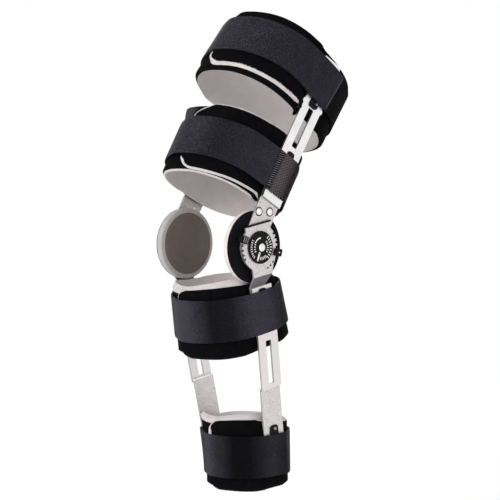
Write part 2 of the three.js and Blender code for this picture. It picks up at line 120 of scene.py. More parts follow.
# A wrap is a sheet rolled up from its inner flap, with its outer flap over that. Degrees along it
INNER_TIP = -30
OUTER_TIP = -460
FLAP_LIFT = 0.0054
MIDDLE_TURN = -230
TIP_FADE = 6.0
TIP_LIFT = 0.0003

# The inner flap is drawn on under the bar, below the outer one, and the outer flap to its own end. FALLS
# is how far the sheet falls in on its way to the bar. Its free margins fall in only between the two
# distances of DROPS, in degrees in front of the bar
INNER_ROOT = -75
OUTER_ROOT = -40
TIP_BACK = 30
TIP_LEVEL = 0.035
FLARE_RISE = 0.014
CURL_RISE = (0.018, 0.042)
DROPS = {"thigh_upper": (4.7, 0.3), "thigh_lower": (6.6, 2.2), "calf": (4.7, 0.3), "ankle": (4.7, 0.3)}
FALLS = {
    "thigh_upper": [
        (-3, 0.0140), (-11, 0.0136), (-16, 0.0079), (-21, 0.0041), (-26, 0.0017), (-30, 0.0003), (-34, 0.0),
    ],
    "thigh_lower": [
        (-4, 0.0090), (-10, 0.0063), (-16, 0.0053), (-20, 0.0039), (-25, 0.0018), (-29, 0.0003), (-34, 0.0),
    ],
    "calf": [(-8, 0.0053), (-14, 0.0052), (-18, 0.0039), (-23, 0.0018), (-27, 0.0002), (-32, 0.0)],
    "ankle": [(-8, 0.0054), (-12, 0.0051), (-17, 0.0035), (-21, 0.0014), (-26, 0.0001), (-30, 0.0)],
}

# How far the top margins of the wraps stand up, and how far they flare out, at degrees round the wrap
MARGIN_RISE = {
    "thigh_lower": [
        (34, 0.0), (24, 0.004), (4, 0.004), (-8, 0.0015), (-25, 0.0), (-110, 0.0), (-135, 0.002), (-160, 0.0),
    ],
    "calf": [
        (76, 0.0), (58, 0.003), (45, 0.006), (30, 0.007), (10, 0.006), (0, 0.004), (-30, 0.0045),
        (-60, 0.003), (-95, 0.0), (-112, 0.002), (-135, 0.008), (-155, 0.007), (-179, 0.0),
    ],
    "ankle": [
        (30, 0.0), (0, 0.002), (-30, 0.004), (-60, 0.0035), (-95, 0.001), (-112, 0.003), (-135, 0.0075),
        (-155, 0.0075), (-179, 0.0),
    ],
}
MARGIN_FLARE = {
    "thigh_lower": [(-100, 0.0), (-125, 0.004), (-150, 0.004), (-175, 0.0)],
    "calf": [
        (115, 0.0), (85, -0.003), (50, -0.005), (25, -0.003), (8, 0.0), (-105, 0.0), (-128, 0.002),
        (-150, 0.002), (-175, 0.0),
    ],
    "ankle": [(-105, 0.0), (-128, 0.0055), (-150, 0.005), (-175, 0.0)],
}

# Wraps whose back is no taller than the strap, and from how far down that margin is raised
LOW_BACKS = {"calf": 0.007}

# Where pale foam shows at the edges: how far it reaches in from the border of the outer cloth, at degrees
# along the sheet. A negative reach leaves the slanted edge dark. Tips are (height, reach, corner) at the
# outer flap's end, up from its lower border and down from its upper one, and round a corner in degrees
DARK = -0.0075
PALE_EDGES = {
    "thigh_upper": {
        "top": [(INNER_TIP, DARK)],
        "bottom": [(-366, DARK), (-370, -0.0005)],
        "tip_bottom": (0.0130, 0.0026, 7.0),
        "tip_top": (0.0, DARK, 16.0),
    },
    "thigh_lower": {
        "top": [(-170, DARK), (-215, 0.0)],
        "bottom": [(INNER_TIP, -0.003), (-120, -0.003), (-352, DARK), (-360, -0.0022)],
        "tip_bottom": (0.0030, 0.0050, 8.0),
        "tip_top": (0.024, 0.0022, 10.0),
    },
    "calf": {
        "top": [(INNER_TIP, 0.0050), (-110, 0.0035), (-170, 0.0), (-240, 0.0), (-256, DARK)],
        "bottom": [(INNER_TIP, DARK)],
        "tip_bottom": (0.004, 0.0010, 6.0),
        "tip_top": (0.010, 0.0022, 5.0),
    },
    "ankle": {
        "top": [(INNER_TIP, 0.0060), (-110, 0.0040), (-170, 0.0), (-368, 0.0), (-396, DARK)],
        "bottom": [(INNER_TIP, DARK)],
        "tip_bottom": (0.004, 0.0010, 6.0),
        "tip_top": (0.014, 0.0055, 9.0),
    },
}
BORDER_STEP = 0.0015

# Where the outer cloth is turned in over a wrap's top edge: degrees from and to, and how deep
HEMS = {"calf": (-6, 112, 0.030)}

# Where the cloth of the inner flap is worn grey above the strap: degrees of its two ends
WORN = {"thigh_lower": (-106, -160)}
WORN_FADE = 6.0

# Straps: where the sewn join is and where the woven length behind it ends, the stitches' pitch, half length,
# turn and place beside the join, and how wide the seam's band is. Then the painted sheen along each strap,
# pale where light falls on it and dark where it lies in shade, and how linty it is. Degrees from the dial
# side towards the back
STRAP_ROWS = 9
STRAP_JOINS = {
    "thigh_upper": {
        "at": 21.5, "to": 88.0, "pitch": 0.0026, "half": 0.0011, "turn": 0, "row": -1.2, "band": 0,
    },
    "thigh_lower": {
        "at": -1.0, "to": 80.0, "pitch": 0.0028, "half": 0.0044, "turn": 107, "row": 3.0, "band": 6.5,
    },
}
STRAP_LEVELS = 2
STRAP_RIM = math.radians(60)
STRAP_SMOOTHING = 0.5
OUTER_FACING = 0.3
RAY_START = 0.3
JOIN_HALF = 0.6
STITCH_SEGMENTS = (8, 6)
STRAP_PAINTED_SHEEN = {
    "thigh_upper": [
        (120, 0.5), (88, 0.0), (22, 0.0), (20, 1.05), (-30, 0.85), (-60, 0.75), (-90, 1.0), (-120, 0.7),
        (-150, 0.5),
    ],
    "thigh_lower": [
        (90, 0.4), (60, 0.1), (25, 0.1), (17, 0.68), (6.1, 0.75), (4.9, 0.1), (-0.4, 0.05), (-1.6, 1.25),
        (-20, 1.2), (-60, 0.40), (-85, 1.0), (-105, 1.0), (-130, 0.6),
    ],
    "calf": [
        (90, 0.3), (60, 0.0), (20, 0.0), (5, 1.5), (-12, 2.2), (-40, 0.35), (-60, 0.12), (-85, 1.7),
        (-103, 3.4), (-125, 0.9),
    ],
    "ankle": [
        (60, 0.3), (15, 0.4), (-10, 1.0), (-40, 0.05), (-60, 0.0), (-85, 0.9), (-100, 2.0), (-120, 0.6),
    ],
}
STRAP_LINT = {
    "thigh_upper": [(30, 0.1), (0, 0.15), (-30, 0.4), (-60, 0.8), (-100, 1.0), (-130, 0.4)],
    "thigh_lower": [(80, 0.3), (0, 0.3), (-30, 0.2), (-60, 0.5), (-100, 1.0), (-130, 0.4)],
    "calf": [(0, 0.15), (-60, 0.1), (-110, 0.3), (-150, 0.1)],
    "ankle": [(0, 0.15), (-60, 0.05), (-110, 0.3), (-150, 0.1)],
}

# Uprights: which nodes have which finish, and the bodies that they ride on
SPECKLED = {"upper_arm": "thigh", "lower_arm": "shin", "ankle_plate": "shin_end"}
SATIN = {"shin_bar": "shin_end"}
BRIGHT = {
    "thigh_bar": "thigh_end", "hinge_washer": "thigh", "pivot_pin": "thigh", "rivet_front": "thigh",
    "rivet_back": "thigh",
}
# Sides facing less than this across take the darker cut finish: partly sheared metal, partly painted shade
CUT_FACING = 0.4
SHORT_EDGE = 0.0005
# The lower arm's bend, which faces down, is painted dark as shade
BEND_FACING = 0.97
SHADED_BEND = 2
# The bright strip along an ankle plate's top edge is a painted highlight
TOP_HIGHLIGHT = 3
NECK = {"from": 0.016, "full": 0.027, "fade": 0.055, "end": 0.065}
UPPER_ARM_FACE = 0.0672
RING_STEPS = 32

# Keepers on the bars: leg, body, middle along the leg, size along and across, the outer face of the
# metal under them, and the place of their screw from the keeper's middle
KEEPERS = {
    "thigh_upper_keeper": {
        "leg": "thigh", "body": "thigh_end", "along": 0.1915, "tall": 0.014, "wide": 0.0145,
        "face": 0.0742, "screw": (0.0035, 0.0005),
    },
    "thigh_lower_keeper": {
        "leg": "thigh", "body": "thigh", "along": 0.1185, "tall": 0.010, "wide": 0.0115,
        "face": 0.0701, "screw": None,
    },
    "calf_keeper": {
        "leg": "shin", "body": "shin", "along": -0.0535, "tall": 0.008, "wide": 0.012,
        "face": 0.0670, "screw": None,
    },
    "ankle_keeper": {
        "leg": "shin", "body": "shin_end", "along": -0.2265, "tall": 0.016, "wide": 0.013,
        "face": 0.0564, "screw": (0.001, 0.0035),
    },
}
KEEPER_CORNER = {"share": 0.3, "segments": 5}
KEEPER_RIM = {"share": 0.3, "segments": 2}
SCREW_HEAD = {"top": 0.8, "segments": 24}

# Condyle pads: their radius, their two faces from the middle plane, and how their section is divided
PAD_RADIUS = 0.043
PAD_HINGE_SIDE = 0.0644
PAD_LEG_SIDE = 0.0527
PAD_STEPS = 96
PAD_FACE_SHARES = (0.0, 0.25, 0.5, 0.75, 0.92, 1.0)
PAD_CROWN_SHARES = (0.92, 0.84, 0.7, 0.5, 0.25, 0.0)
PAD_ROUND = 0.3
PAD_WAIST = 0.45

# Dial and its marks: radii in metres, angles in degrees from the back of the leg, turning upwards
DIAL_FACE = 0.0748
FACE_PLATE = 0.0725
MARK_RISE = 0.00012
DIAL_TICKS = [
    {"inner": 0.0138, "outer": 0.0176, "start": -58, "end": 38, "count": 9, "width": 0.0012},
    {"inner": 0.0092, "outer": 0.0119, "start": -40, "end": 28, "count": 6, "width": 0.0010},
    {"inner": 0.0146, "outer": 0.0176, "start": 138, "end": 214, "count": 9, "width": 0.0010},
    {"inner": 0.0094, "outer": 0.0118, "start": 150, "end": 196, "count": 4, "width": 0.0012},
    {"inner": 0.0112, "outer": 0.0150, "start": -106, "end": -66, "count": 5, "width": 0.0010},
]
DIAL_ARC = {"inner": 0.0104, "outer": 0.0120, "start": 84, "end": 142, "steps": 24}
DIAL_POINTER = {"inner": 0.0062, "outer": 0.0172, "angle": -122, "width": 0.0030, "tip": 0.7}
PLATE_DOTS = {"radius": 0.0278, "angles": (-72, -61.5, -50), "size": 0.0013, "top": 0.7}
DOT_SEGMENTS = 16

# The dark sheet behind the face plate, whose edge along the plate's flat top is painted shade, and what the
# two stops carry on their outer face
PLATE_SHADE_SHEET = {
    "face": 0.0689, "thick": 0.0016, "front": -0.0187, "back": 0.0258, "bottom": 0.0258, "top": 0.0281,
    "corner": 0.0009,
}
MOULDINGS = {"dial": "shin", "extension_stop": "extension_stop", "flexion_stop": "flexion_stop"}
STOP_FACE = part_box("extension_stop")[1][0]
STOP_RIDGES = {
    "angle": 150, "radii": (0.0258, 0.0287, 0.0316), "thick": 0.0013, "wide": 0.0072, "rise": 0.0006,
    "round": 0.0003,
}
STOP_DOT = {"angle": -24, "radius": 0.0285, "size": 0.0010, "top": 0.8, "rise": 0.0002}

# Places of the Mix node's sockets, which share their names
MIX_VALUES = (2, 3)
MIX_COLORS = (6, 7)
MIX_COLOR_MADE = 2

# Finishes: marks per metre, pitches and heights in metres, gloss from smooth to rough
MOTTLE_NOISE = {"Detail": 4.0, "Roughness": 0.6}
MOTTLE_SPAN = {"From Min": 0.3, "From Max": 0.7}
SPECK_NOISE = {"Detail": 2.0, "Roughness": 0.5}
SPECK_STEEPNESS = 9.0
PORE_SCALE = 900.0
THREAD_SHADE = 0.3
CLOTH_BLOTCH = {"scale": 60.0, "low": 0.0, "high": 0.7}
LOOPS = {"pitch": 0.0019, "depth": 0.0005}
LOOP_BLOTCH = {"scale": 120.0, "low": 0.0, "high": 1.0}
FRAY = {"scale": 300.0, "low": -0.0003, "high": 0.0003}
PALE_STEEPNESS = 1600.0
STRAP_PATCH = {"scale": 48.0, "low": 0.40, "high": 0.65}
STRAP_GRAIN = {"scale": 480.0, "low": 0.35, "high": 1.25}
STRAP_FLECK = {"scale": 760.0, "level": 0.54}
FLECK_SHARE = 0.5
SMOOTH_WEAVE = {"pitch": 0.0011, "depth": 0.00015, "contrast": 0.2}
SMOOTH_GLOSS = {"scale": 220.0, "low": 0.45, "high": 0.62}
RIBBED_WEAVE = {"pitch": 0.0042, "depth": 0.0012, "contrast": 1.2}
RIBBED_GLOSS = {"scale": 220.0, "low": 0.7, "high": 0.9}
FOAM_BLOTCH = {"scale": 160.0, "low": 0.1, "high": 1.0}
FOAM_DEPTH = 0.0004
METAL_SPECKS = 900.0
METAL_BLOTCH = 90.0
METAL_RELIEF = (0.00006, 0.5)
PLASTIC_GRAIN = {"scale": 2400.0, "level": 0.5}
PLASTIC_BLOTCH = 220.0
PLASTIC_RELIEF = (0.00004, 1.0)

# Second tones of the finishes, as multiples of their own colour
LOOP_LINT = 2.2
FOAM_SHADOW = 0.82
LINING_NAP = 0.85
PAD_NAP = 0.8
STRAP_SHEEN = 22.0
STRAP_FLUFF = 60.0
RIB_SHEEN = 44.0
RIB_FLUFF = 50.0
THREAD_SHADOW = 0.6
CUT_SHADOW = 0.75
# Second tone of the painted shade in the arm's bend
BEND_SHADE_SPREAD = 1.3
# Darker tone of the painted shade in the ring round each rivet
RIVET_SHADE_DEPTH = 0.5
SCREW_DULL = 0.5
KEEPER_GREY = 2.5
DIAL_GREY = 2.2
# The stop's ridges are painted lighter as a highlight
RIDGE_HIGHLIGHT = 45.0
RIDGE_HIGHLIGHT_PEAK = 70.0
MARK_FADED = 0.9
FLOOR_SHADE = 0.97

# Studio
SENSOR = 36.0
VIEW_END = 100.0
FLOOR_SEGMENTS = 64
LIGHTS = {
    "key_light": {"place": (-0.2, -2.4, 0.9), "size": 1.6, "watts": 40.0},
    "side_light": {"place": (2.4, 0.3, 0.5), "size": 1.2, "watts": 10.0},
    "rim_light": {"place": (-1.6, 1.6, 0.9), "size": 1.2, "watts": 10.0},
}


def rgba(color):
    """A colour property as the four numbers of a socket."""
    return (*color, 1.0)


def scaled(color, share):
    """A colour with each channel multiplied."""
    return [channel * share for channel in color]


def smoothstep(low, high, value):
    """0 below low, 1 above high, and a smooth rise between them."""
    share = min(max((value - low) / (high - low), 0.0), 1.0)
    return share * share * (3 - 2 * share)


def cuff_frame(cuff):
    """The matrix from a wrap's own frame to the world."""
    place = Matrix.Translation((0, cuff["behind"], cuff["along"]))
    return LEGS[cuff["leg"]] @ place @ Matrix.Rotation(math.radians(-cuff["lean"]), 4, "X")


def bar_middle(cuff, level):
    """How far behind a wrap's middle the bars cross this level of it."""
    lean = math.radians(cuff["lean"])
    behind = BAR_BEHIND[cuff["leg"]] - cuff["behind"]
    return (behind - level * math.sin(lean)) / math.cos(lean)


def angle_of(place):
    """Degrees round a wrap's own axis, from the dial side towards the back."""
    return math.degrees(math.atan2(place.y, place.x))


def outward_of(place):
    """The level direction from a wrap's own axis out to a place."""
    return Vector((place.x, place.y, 0)).normalized()


# Shader nodes


def add_node(tree, kind, inputs=None, **settings):
    """Adds a node; each input takes a plain value or another node's socket."""
    node = tree.nodes.new(kind)
    for key, value in settings.items():
        setattr(node, key, value)
    for key, value in (inputs or {}).items():
        if isinstance(value, bpy.types.NodeSocket):
            tree.links.new(value, node.inputs[key])
        else:
            node.inputs[key].default_value = value
    return node


def math_node(tree, operation, first, second=0.0):
    """The output of one sum on two values or sockets."""
    return add_node(tree, "ShaderNodeMath", {0: first, 1: second}, operation=operation).outputs[0]


def fill_threads(group, given):
    """Crossing threads: a height that rises and falls along both directions of the cloth."""
    axes = add_node(group, "ShaderNodeSeparateXYZ", {0: given["Vector"]})
    waves = []
    for axis in ("X", "Y"):
        turns = math_node(group, "DIVIDE", axes.outputs[axis], given["Pitch"])
        waves.append(math_node(group, "SINE", math_node(group, "MULTIPLY", turns, math.tau)))
    half = math_node(group, "MULTIPLY", math_node(group, "MULTIPLY", *waves), 0.5)
    return math_node(group, "ADD", half, 0.5)


def fill_mottle(group, given):
    """Soft blotches: a value between Low and High that changes slowly over the surface."""
    cloud = add_node(
        group, "ShaderNodeTexNoise",
        {"Vector": given["Vector"], "Scale": given["Scale"], **MOTTLE_NOISE},
    )
    spread = add_node(
        group, "ShaderNodeMapRange",
        {"Value": cloud.outputs[0], **MOTTLE_SPAN, "To Min": given["Low"], "To Max": given["High"]},
    )
    return spread.outputs["Result"]


def fill_specks(group, given):
    """Small separate specks: a mask that is 1 where the noise is above Level."""
    cloud = add_node(
        group, "ShaderNodeTexNoise",
        {"Vector": given["Vector"], "Scale": given["Scale"], **SPECK_NOISE},
    )
    above = math_node(group, "SUBTRACT", cloud.outputs[0], given["Level"])
    sharp = math_node(group, "MULTIPLY", above, SPECK_STEEPNESS)
    return add_node(group, "ShaderNodeClamp", {"Value": sharp}).outputs[0]


# Effects that several materials use: the values that each takes, what it puts out, and what fills it
EFFECTS = {
    "Crossing threads": (("Pitch",), "Height", fill_threads),
    "Mottle": (("Scale", "Low", "High"), "Value", fill_mottle),
    "Specks": (("Scale", "Level"), "Mask", fill_specks),
}


def effect_group(name):
    """The shader node group of an effect, built once."""
    if name in bpy.data.node_groups:
        return bpy.data.node_groups[name]
    values, output, fill = EFFECTS[name]
    group = bpy.data.node_groups.new(name, "ShaderNodeTree")
    group.interface.new_socket("Vector", in_out="INPUT", socket_type="NodeSocketVector")
    for label in values:
        group.interface.new_socket(label, in_out="INPUT", socket_type="NodeSocketFloat")
    group.interface.new_socket(output, in_out="OUTPUT", socket_type="NodeSocketFloat")
    start = group.nodes.new("NodeGroupInput")
    end = group.nodes.new("NodeGroupOutput")
    group.links.new(fill(group, start.outputs), end.inputs[output])
    return group


def add_effect(tree, name, place, **values):
    """The output of an effect that reads these coordinates, with its own values."""
    inputs = {"Vector": place}
    inputs.update({label.title(): value for label, value in values.items()})
    return add_node(tree, "ShaderNodeGroup", inputs, node_tree=effect_group(name)).outputs[0]


def mesh_value(tree, name):
    """A value that is written on the points of a mesh."""
    return add_node(tree, "ShaderNodeAttribute", attribute_name=name).outputs["Fac"]


def mix_colors(tree, factor, first, second):
    """A colour between two, each a plain colour or another node's socket."""
    pair = [side if isinstance(side, bpy.types.NodeSocket) else rgba(side) for side in (first, second)]
    inputs = {0: factor, MIX_COLORS[0]: pair[0], MIX_COLORS[1]: pair[1]}
    return add_node(tree, "ShaderNodeMix", inputs, data_type="RGBA").outputs[MIX_COLOR_MADE]


def add_relief(tree, shader, height, depth, strength=1.0):
    """Turns a height into a shader's bump."""
    bump = add_node(tree, "ShaderNodeBump", {"Height": height, "Distance": depth, "Strength": strength})
    tree.links.new(bump.outputs[0], shader.inputs["Normal"])


def new_material(name, **sockets):
    """A material with its shader's plain values set, its tree and its shader."""
    material = bpy.data.materials.new(name)
    material.use_nodes = True
    shader = material.node_tree.nodes["Principled BSDF"]
    for label, value in sockets.items():
        shader.inputs[label.replace("_", " ")].default_value = value
    return material, material.node_tree, shader


def cloth_material(name, dark, light, pitch, depth, on_uv=True, **sockets):
    """Woven or knitted cloth: threads in relief, and soft blotches of colour."""
    material, tree, shader = new_material(name, **sockets)
    place = add_node(tree, "ShaderNodeTexCoord").outputs
    threads = add_effect(tree, "Crossing threads", place["UV" if on_uv else "Object"], pitch=pitch)
    mottle = add_effect(tree, "Mottle", place["Object"], **CLOTH_BLOTCH)
    factor = math_node(tree, "ADD", math_node(tree, "MULTIPLY", threads, THREAD_SHADE), mottle)
    tree.links.new(mix_colors(tree, factor, dark, light), shader.inputs["Base Color"])
    add_relief(tree, shader, threads, depth)
    return material


def padding_material(name, cloth, wear_and_painted_sheen, foam, **sockets):
    """Looped cloth, worn grey and giving way to bare cut foam where the mesh says so."""
    material, tree, shader = new_material(name, **sockets)
    place = add_node(tree, "ShaderNodeTexCoord").outputs
    threads = add_effect(tree, "Crossing threads", place["UV"], pitch=LOOPS["pitch"])
    pores = add_node(tree, "ShaderNodeTexVoronoi", {"Vector": place["Object"], "Scale": PORE_SCALE})
    fray = add_effect(tree, "Mottle", place["Object"], **FRAY)
    mottle = add_effect(tree, "Mottle", place["Object"], **LOOP_BLOTCH)
    frayed = math_node(tree, "ADD", mesh_value(tree, "pale"), fray)
    steep = math_node(tree, "ADD", math_node(tree, "MULTIPLY", frayed, PALE_STEEPNESS), 0.5)
    mask = add_node(tree, "ShaderNodeClamp", {"Value": steep}).outputs[0]
    fresh = mix_colors(tree, mottle, *cloth)
    dark = mix_colors(tree, mesh_value(tree, "wear_and_painted_sheen"), fresh, wear_and_painted_sheen)
    bare = mix_colors(tree, mottle, *foam)
    tree.links.new(mix_colors(tree, mask, dark, bare), shader.inputs["Base Color"])
    heights = {0: mask, MIX_VALUES[0]: threads, MIX_VALUES[1]: pores.outputs["Distance"]}
    height = add_node(tree, "ShaderNodeMix", heights)
    add_relief(tree, shader, height.outputs[0], LOOPS["depth"])
    return material


def strap_material(name, dark, light, lint, weave, gloss, **sockets):
    """Strap webbing: threads painted paler with sheen where the mesh says, flecked with lint, with uneven
    gloss.
    """
    material, tree, shader = new_material(name, **sockets)
    place = add_node(tree, "ShaderNodeTexCoord").outputs
    threads = add_effect(tree, "Crossing threads", place["UV"], pitch=weave["pitch"])
    patches = add_effect(tree, "Mottle", place["Object"], **STRAP_PATCH)
    grain = add_effect(tree, "Mottle", place["Object"], **STRAP_GRAIN)
    flecks = add_effect(tree, "Specks", place["Object"], **STRAP_FLECK)
    uneven = math_node(tree, "MULTIPLY", patches, grain)
    shade = math_node(tree, "ADD", math_node(tree, "MULTIPLY", threads, weave["contrast"]), uneven)
    # Painted sheen: the mesh's value pales the strap where light falls on it and leaves it dark where it is
    # in shade
    sheen_tone = math_node(tree, "MULTIPLY", shade, mesh_value(tree, "wear_and_painted_sheen"))
    linty = math_node(tree, "MULTIPLY", flecks, mesh_value(tree, "linty"))
    share = math_node(tree, "MULTIPLY", linty, FLECK_SHARE)
    flecked = mix_colors(tree, share, mix_colors(tree, sheen_tone, dark, light), lint)
    tree.links.new(flecked, shader.inputs["Base Color"])
    tree.links.new(add_effect(tree, "Mottle", place["Object"], **gloss), shader.inputs["Roughness"])
    add_relief(tree, shader, threads, weave["depth"])
    return material


def foam_material(name, dark, light, **sockets):
    """Cut foam: fine open pores and uneven pale grey."""
    material, tree, shader = new_material(name, **sockets)
    place = add_node(tree, "ShaderNodeTexCoord").outputs["Object"]
    pores = add_node(tree, "ShaderNodeTexVoronoi", {"Vector": place, "Scale": PORE_SCALE})
    mottle = add_effect(tree, "Mottle", place, **FOAM_BLOTCH)
    tree.links.new(mix_colors(tree, mottle, dark, light), shader.inputs["Base Color"])
    add_relief(tree, shader, pores.outputs["Distance"], FOAM_DEPTH)
    return material


def flecked_material(name, ground, fleck, flecks, gloss, relief, **sockets):
    """A hard surface with small flecks of another colour, in relief, and slightly uneven gloss."""
    material, tree, shader = new_material(name, **sockets)
    place = add_node(tree, "ShaderNodeTexCoord").outputs["Object"]
    mask = add_effect(tree, "Specks", place, **flecks)
    tree.links.new(mix_colors(tree, mask, ground, fleck), shader.inputs["Base Color"])
    tree.links.new(add_effect(tree, "Mottle", place, **gloss), shader.inputs["Roughness"])
    add_relief(tree, shader, mask, *relief)
    return material


def metal_material(name, dark, light, smooth, rough, level):
    """Tumbled sheet metal: dark specks on a bright ground."""
    flecks = {"scale": METAL_SPECKS, "level": level}
    gloss = {"scale": METAL_BLOTCH, "low": smooth, "high": rough}
    return flecked_material(name, light, dark, flecks, gloss, METAL_RELIEF, Metallic=1.0)


def plastic_material(name, dark, light, smooth, rough, **sockets):
    """Moulded plastic: a fine even grain."""
    gloss = {"scale": PLASTIC_BLOTCH, "low": smooth, "high": rough}
    return flecked_material(name, dark, light, PLASTIC_GRAIN, gloss, PLASTIC_RELIEF, **sockets)


# Meshes


def merged_copy(node):
    """A solid's mesh with its loose triangles joined back into faces."""
    bm = bmesh.new()
    bm.from_mesh(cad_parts[node].data)
    bmesh.ops.remove_doubles(bm, verts=bm.verts, dist=WELD)
    bmesh.ops.join_triangles(
        bm, faces=bm.faces, angle_face_threshold=JOIN_ANGLE, angle_shape_threshold=math.pi,
    )
    return bm


def band_copy(node, frame):
    """A solid's joined mesh, in its wrap's own frame."""
    bm = merged_copy(node)
    bm.transform(frame.inverted())
    bm.normal_update()
    return bm


def round_edges(bm, edges, width, segments):
    """Rounds the given edges."""
    bmesh.ops.bevel(
        bm, geom=edges, offset=width, offset_type="OFFSET", segments=segments, profile=0.5,
        affect="EDGES", material=-1, clamp_overlap=True,
    )


def join_flats(bm):
    """Joins faces that lie in one plane."""
    bmesh.ops.dissolve_limit(bm, angle_limit=COPLANAR, verts=bm.verts, edges=bm.edges)


def ease_sharp(bm, width, segments):
    """Rounds every sharp edge."""
    round_edges(bm, [edge for edge in bm.edges if edge.calc_face_angle(0.0) > SHARP], width, segments)


def rungs_of(bm):
    """The edges of a band that run from its lower border to its upper one."""
    return [edge for edge in bm.edges if abs(edge.verts[0].co.z - edge.verts[1].co.z) > TALL]


def sideways_edges(bm):
    """The edges that run across the leg."""
    return [edge for edge in bm.edges if abs((edge.verts[0].co - edge.verts[1].co).x) > WELD]


def to_far_side(bm):
    """Mirrors a finished shape to the other side of the leg."""
    bmesh.ops.scale(bm, vec=(-1, 1, 1), verts=bm.verts)
    bmesh.ops.reverse_faces(bm, faces=bm.faces)


def paint(verts, index):
    """Gives the faces round these points one of the piece's materials."""
    for face in {face for vertex in verts for face in vertex.link_faces}:
        face.material_index = index


def add_block(bm, place, size):
    """The points of a new block of this size."""
    return bmesh.ops.create_cube(bm, size=1.0, matrix=place @ Matrix.Diagonal((*size, 1)))["verts"]


def add_button(bm, place, radius, top, depth, segments):
    """The points of a new flat button that faces sideways, its top this share of its foot."""
    facing = Matrix.Rotation(math.pi / 2, 4, "Y")
    button = bmesh.ops.create_cone(
        bm, cap_ends=True, segments=segments, radius1=radius, radius2=radius * top, depth=depth,
        matrix=place @ facing,
    )
    return button["verts"]


def spin_section(bm, corners, start, sweep, steps):
    """Turns a flat outline of (across, radius) corners round the x axis and closes it."""
    verts = [bm.verts.new((across, radius, 0)) for across, radius in corners]
    section = bm.faces.new(verts)
    bmesh.ops.rotate(bm, matrix=Matrix.Rotation(start, 3, "X"), cent=(0, 0, 0), verts=verts)
    is_full = sweep >= math.tau
    geom = [section]
    if is_full:
        geom = verts + section.edges[:]
        bmesh.ops.delete(bm, geom=[section], context="FACES_ONLY")
    bmesh.ops.spin(
        bm, geom=geom, cent=(0, 0, 0), axis=(1, 0, 0), angle=sweep, steps=steps, use_merge=is_full,
    )
    bmesh.ops.recalc_face_normals(bm, faces=bm.faces)


def new_object(name, bm, materials):
    """A smooth-shaded object with its place in its mesh."""
    mesh = bpy.data.meshes.new(name)
    bm.to_mesh(mesh)
    bm.free()
    for material in materials:
        mesh.materials.append(material)
    mesh.shade_smooth()
    obj = bpy.data.objects.new(name, mesh)
    bpy.context.scene.collection.objects.link(obj)
    return obj


def seat(obj, body, slot, *nodes):
    """Rides a finished piece on its body and hides what it stands for. Its slot is not used."""
    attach(obj, body)
    if nodes:
        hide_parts(*nodes)


def subdivide(obj, levels):
    """Adds a live subdivision surface."""
    modifier = obj.modifiers.new("round", "SUBSURF")
    modifier.levels = levels
    modifier.render_levels = levels
    modifier.uv_smooth = "NONE"


def weigh_normals(obj, angle):
    """Flat faces stay flat beside their rounded edges."""
    obj.data.set_sharp_from_angle(angle=angle)
    modifier = obj.modifiers.new("normals", "WEIGHTED_NORMAL")
    modifier.keep_sharp = True


def cloth_uv(bm, radius):
    """Lays a band's faces out flat: the way round across, the level up, both in metres."""
    layer = bm.loops.layers.uv.new("cloth")
    for face in bm.faces:
        middle = face.calc_center_median()
        base = math.atan2(middle.y, middle.x)
        for loop in face.loops:
            place = loop.vert.co
            turn = math.remainder(math.atan2(place.y, place.x) - base, math.tau)
            loop[layer].uv = ((base + turn) * radius, place.z)


def swell(obj, held, pressure, cap, frames):
    """Blows a closed piece up a little as cloth, held where it is pressed, within a cap."""
    scene = bpy.context.scene
    group = obj.vertex_groups.new(name="held")
    group.add(held, 1.0, "REPLACE")
    cloth = obj.modifiers.new("swell", "CLOTH")
    cloth.settings.vertex_group_mass = group.name
    cloth.settings.use_pressure = True
    cloth.settings.uniform_pressure_force = pressure
    cloth.settings.effector_weights.gravity = 0.0
    cloth.point_cache.frame_start = 1
    cloth.point_cache.frame_end = frames
    for frame in range(1, frames + 1):
        scene.frame_set(frame)
    shaped = obj.evaluated_get(bpy.context.evaluated_depsgraph_get())
    for vertex, moved in zip(obj.data.vertices, shaped.data.vertices):
        step = moved.co - vertex.co
        if step.length > cap:
            step *= cap / step.length
        vertex.co += step
    obj.modifiers.remove(cloth)
    obj.vertex_groups.remove(group)
    scene.frame_set(1)


# Wraps


def outline_radius(cuff, angle):
    """From a wrap's middle to its outer face where it lies in one layer."""
    wide, deep = cuff["half"]
    power = cuff["squareness"]
    across = abs(math.cos(math.radians(angle))) / wide
    behind = abs(math.sin(math.radians(angle))) / deep
    return (across ** power + behind ** power) ** (-1 / power)


def along_sheet(cuff, place):
    """Degrees along a wrap's sheet at a place on its outer face."""
    angle = angle_of(place)
    is_single = angle < OUTER_TIP + 360
    is_under = angle < INNER_TIP and place.xy.length < outline_radius(cuff, angle) + FLAP_LIFT / 2
    return angle if is_single or is_under else angle - 360


def is_flap_end(cuff, place):
    """Whether a place is on the slanted end of the outer flap."""
    angle = angle_of(place)
    lift = place.xy.length - outline_radius(cuff, angle)
    return lift > TIP_LIFT and abs(angle - OUTER_TIP - 360) < TIP_FADE


def value_at(knots, turn):
    """A value between the nearest two entries of a table, which runs from high degrees to low ones."""
    if turn >= knots[0][0]:
        return knots[0][1]
    for (before, first), (after, second) in zip(knots, knots[1:]):
        if turn >= after:
            return first + (second - first) * (before - turn) / (before - after)
    return knots[-1][1]


def wrap_zone(face):
    """Which of a wrap's faces this is, in the wrap's own frame."""
    levels = [vertex.co.z for vertex in face.verts]
    middle = face.calc_center_median()
    outward = face.normal.xy.dot(middle.xy.normalized())
    is_cap = abs(outward) < CAP_FACING and middle.y < -BAR_WIDTH
    if max(levels) - min(levels) < TALL or is_cap:
        return EDGE
    return COVER if outward > 0 else LINING


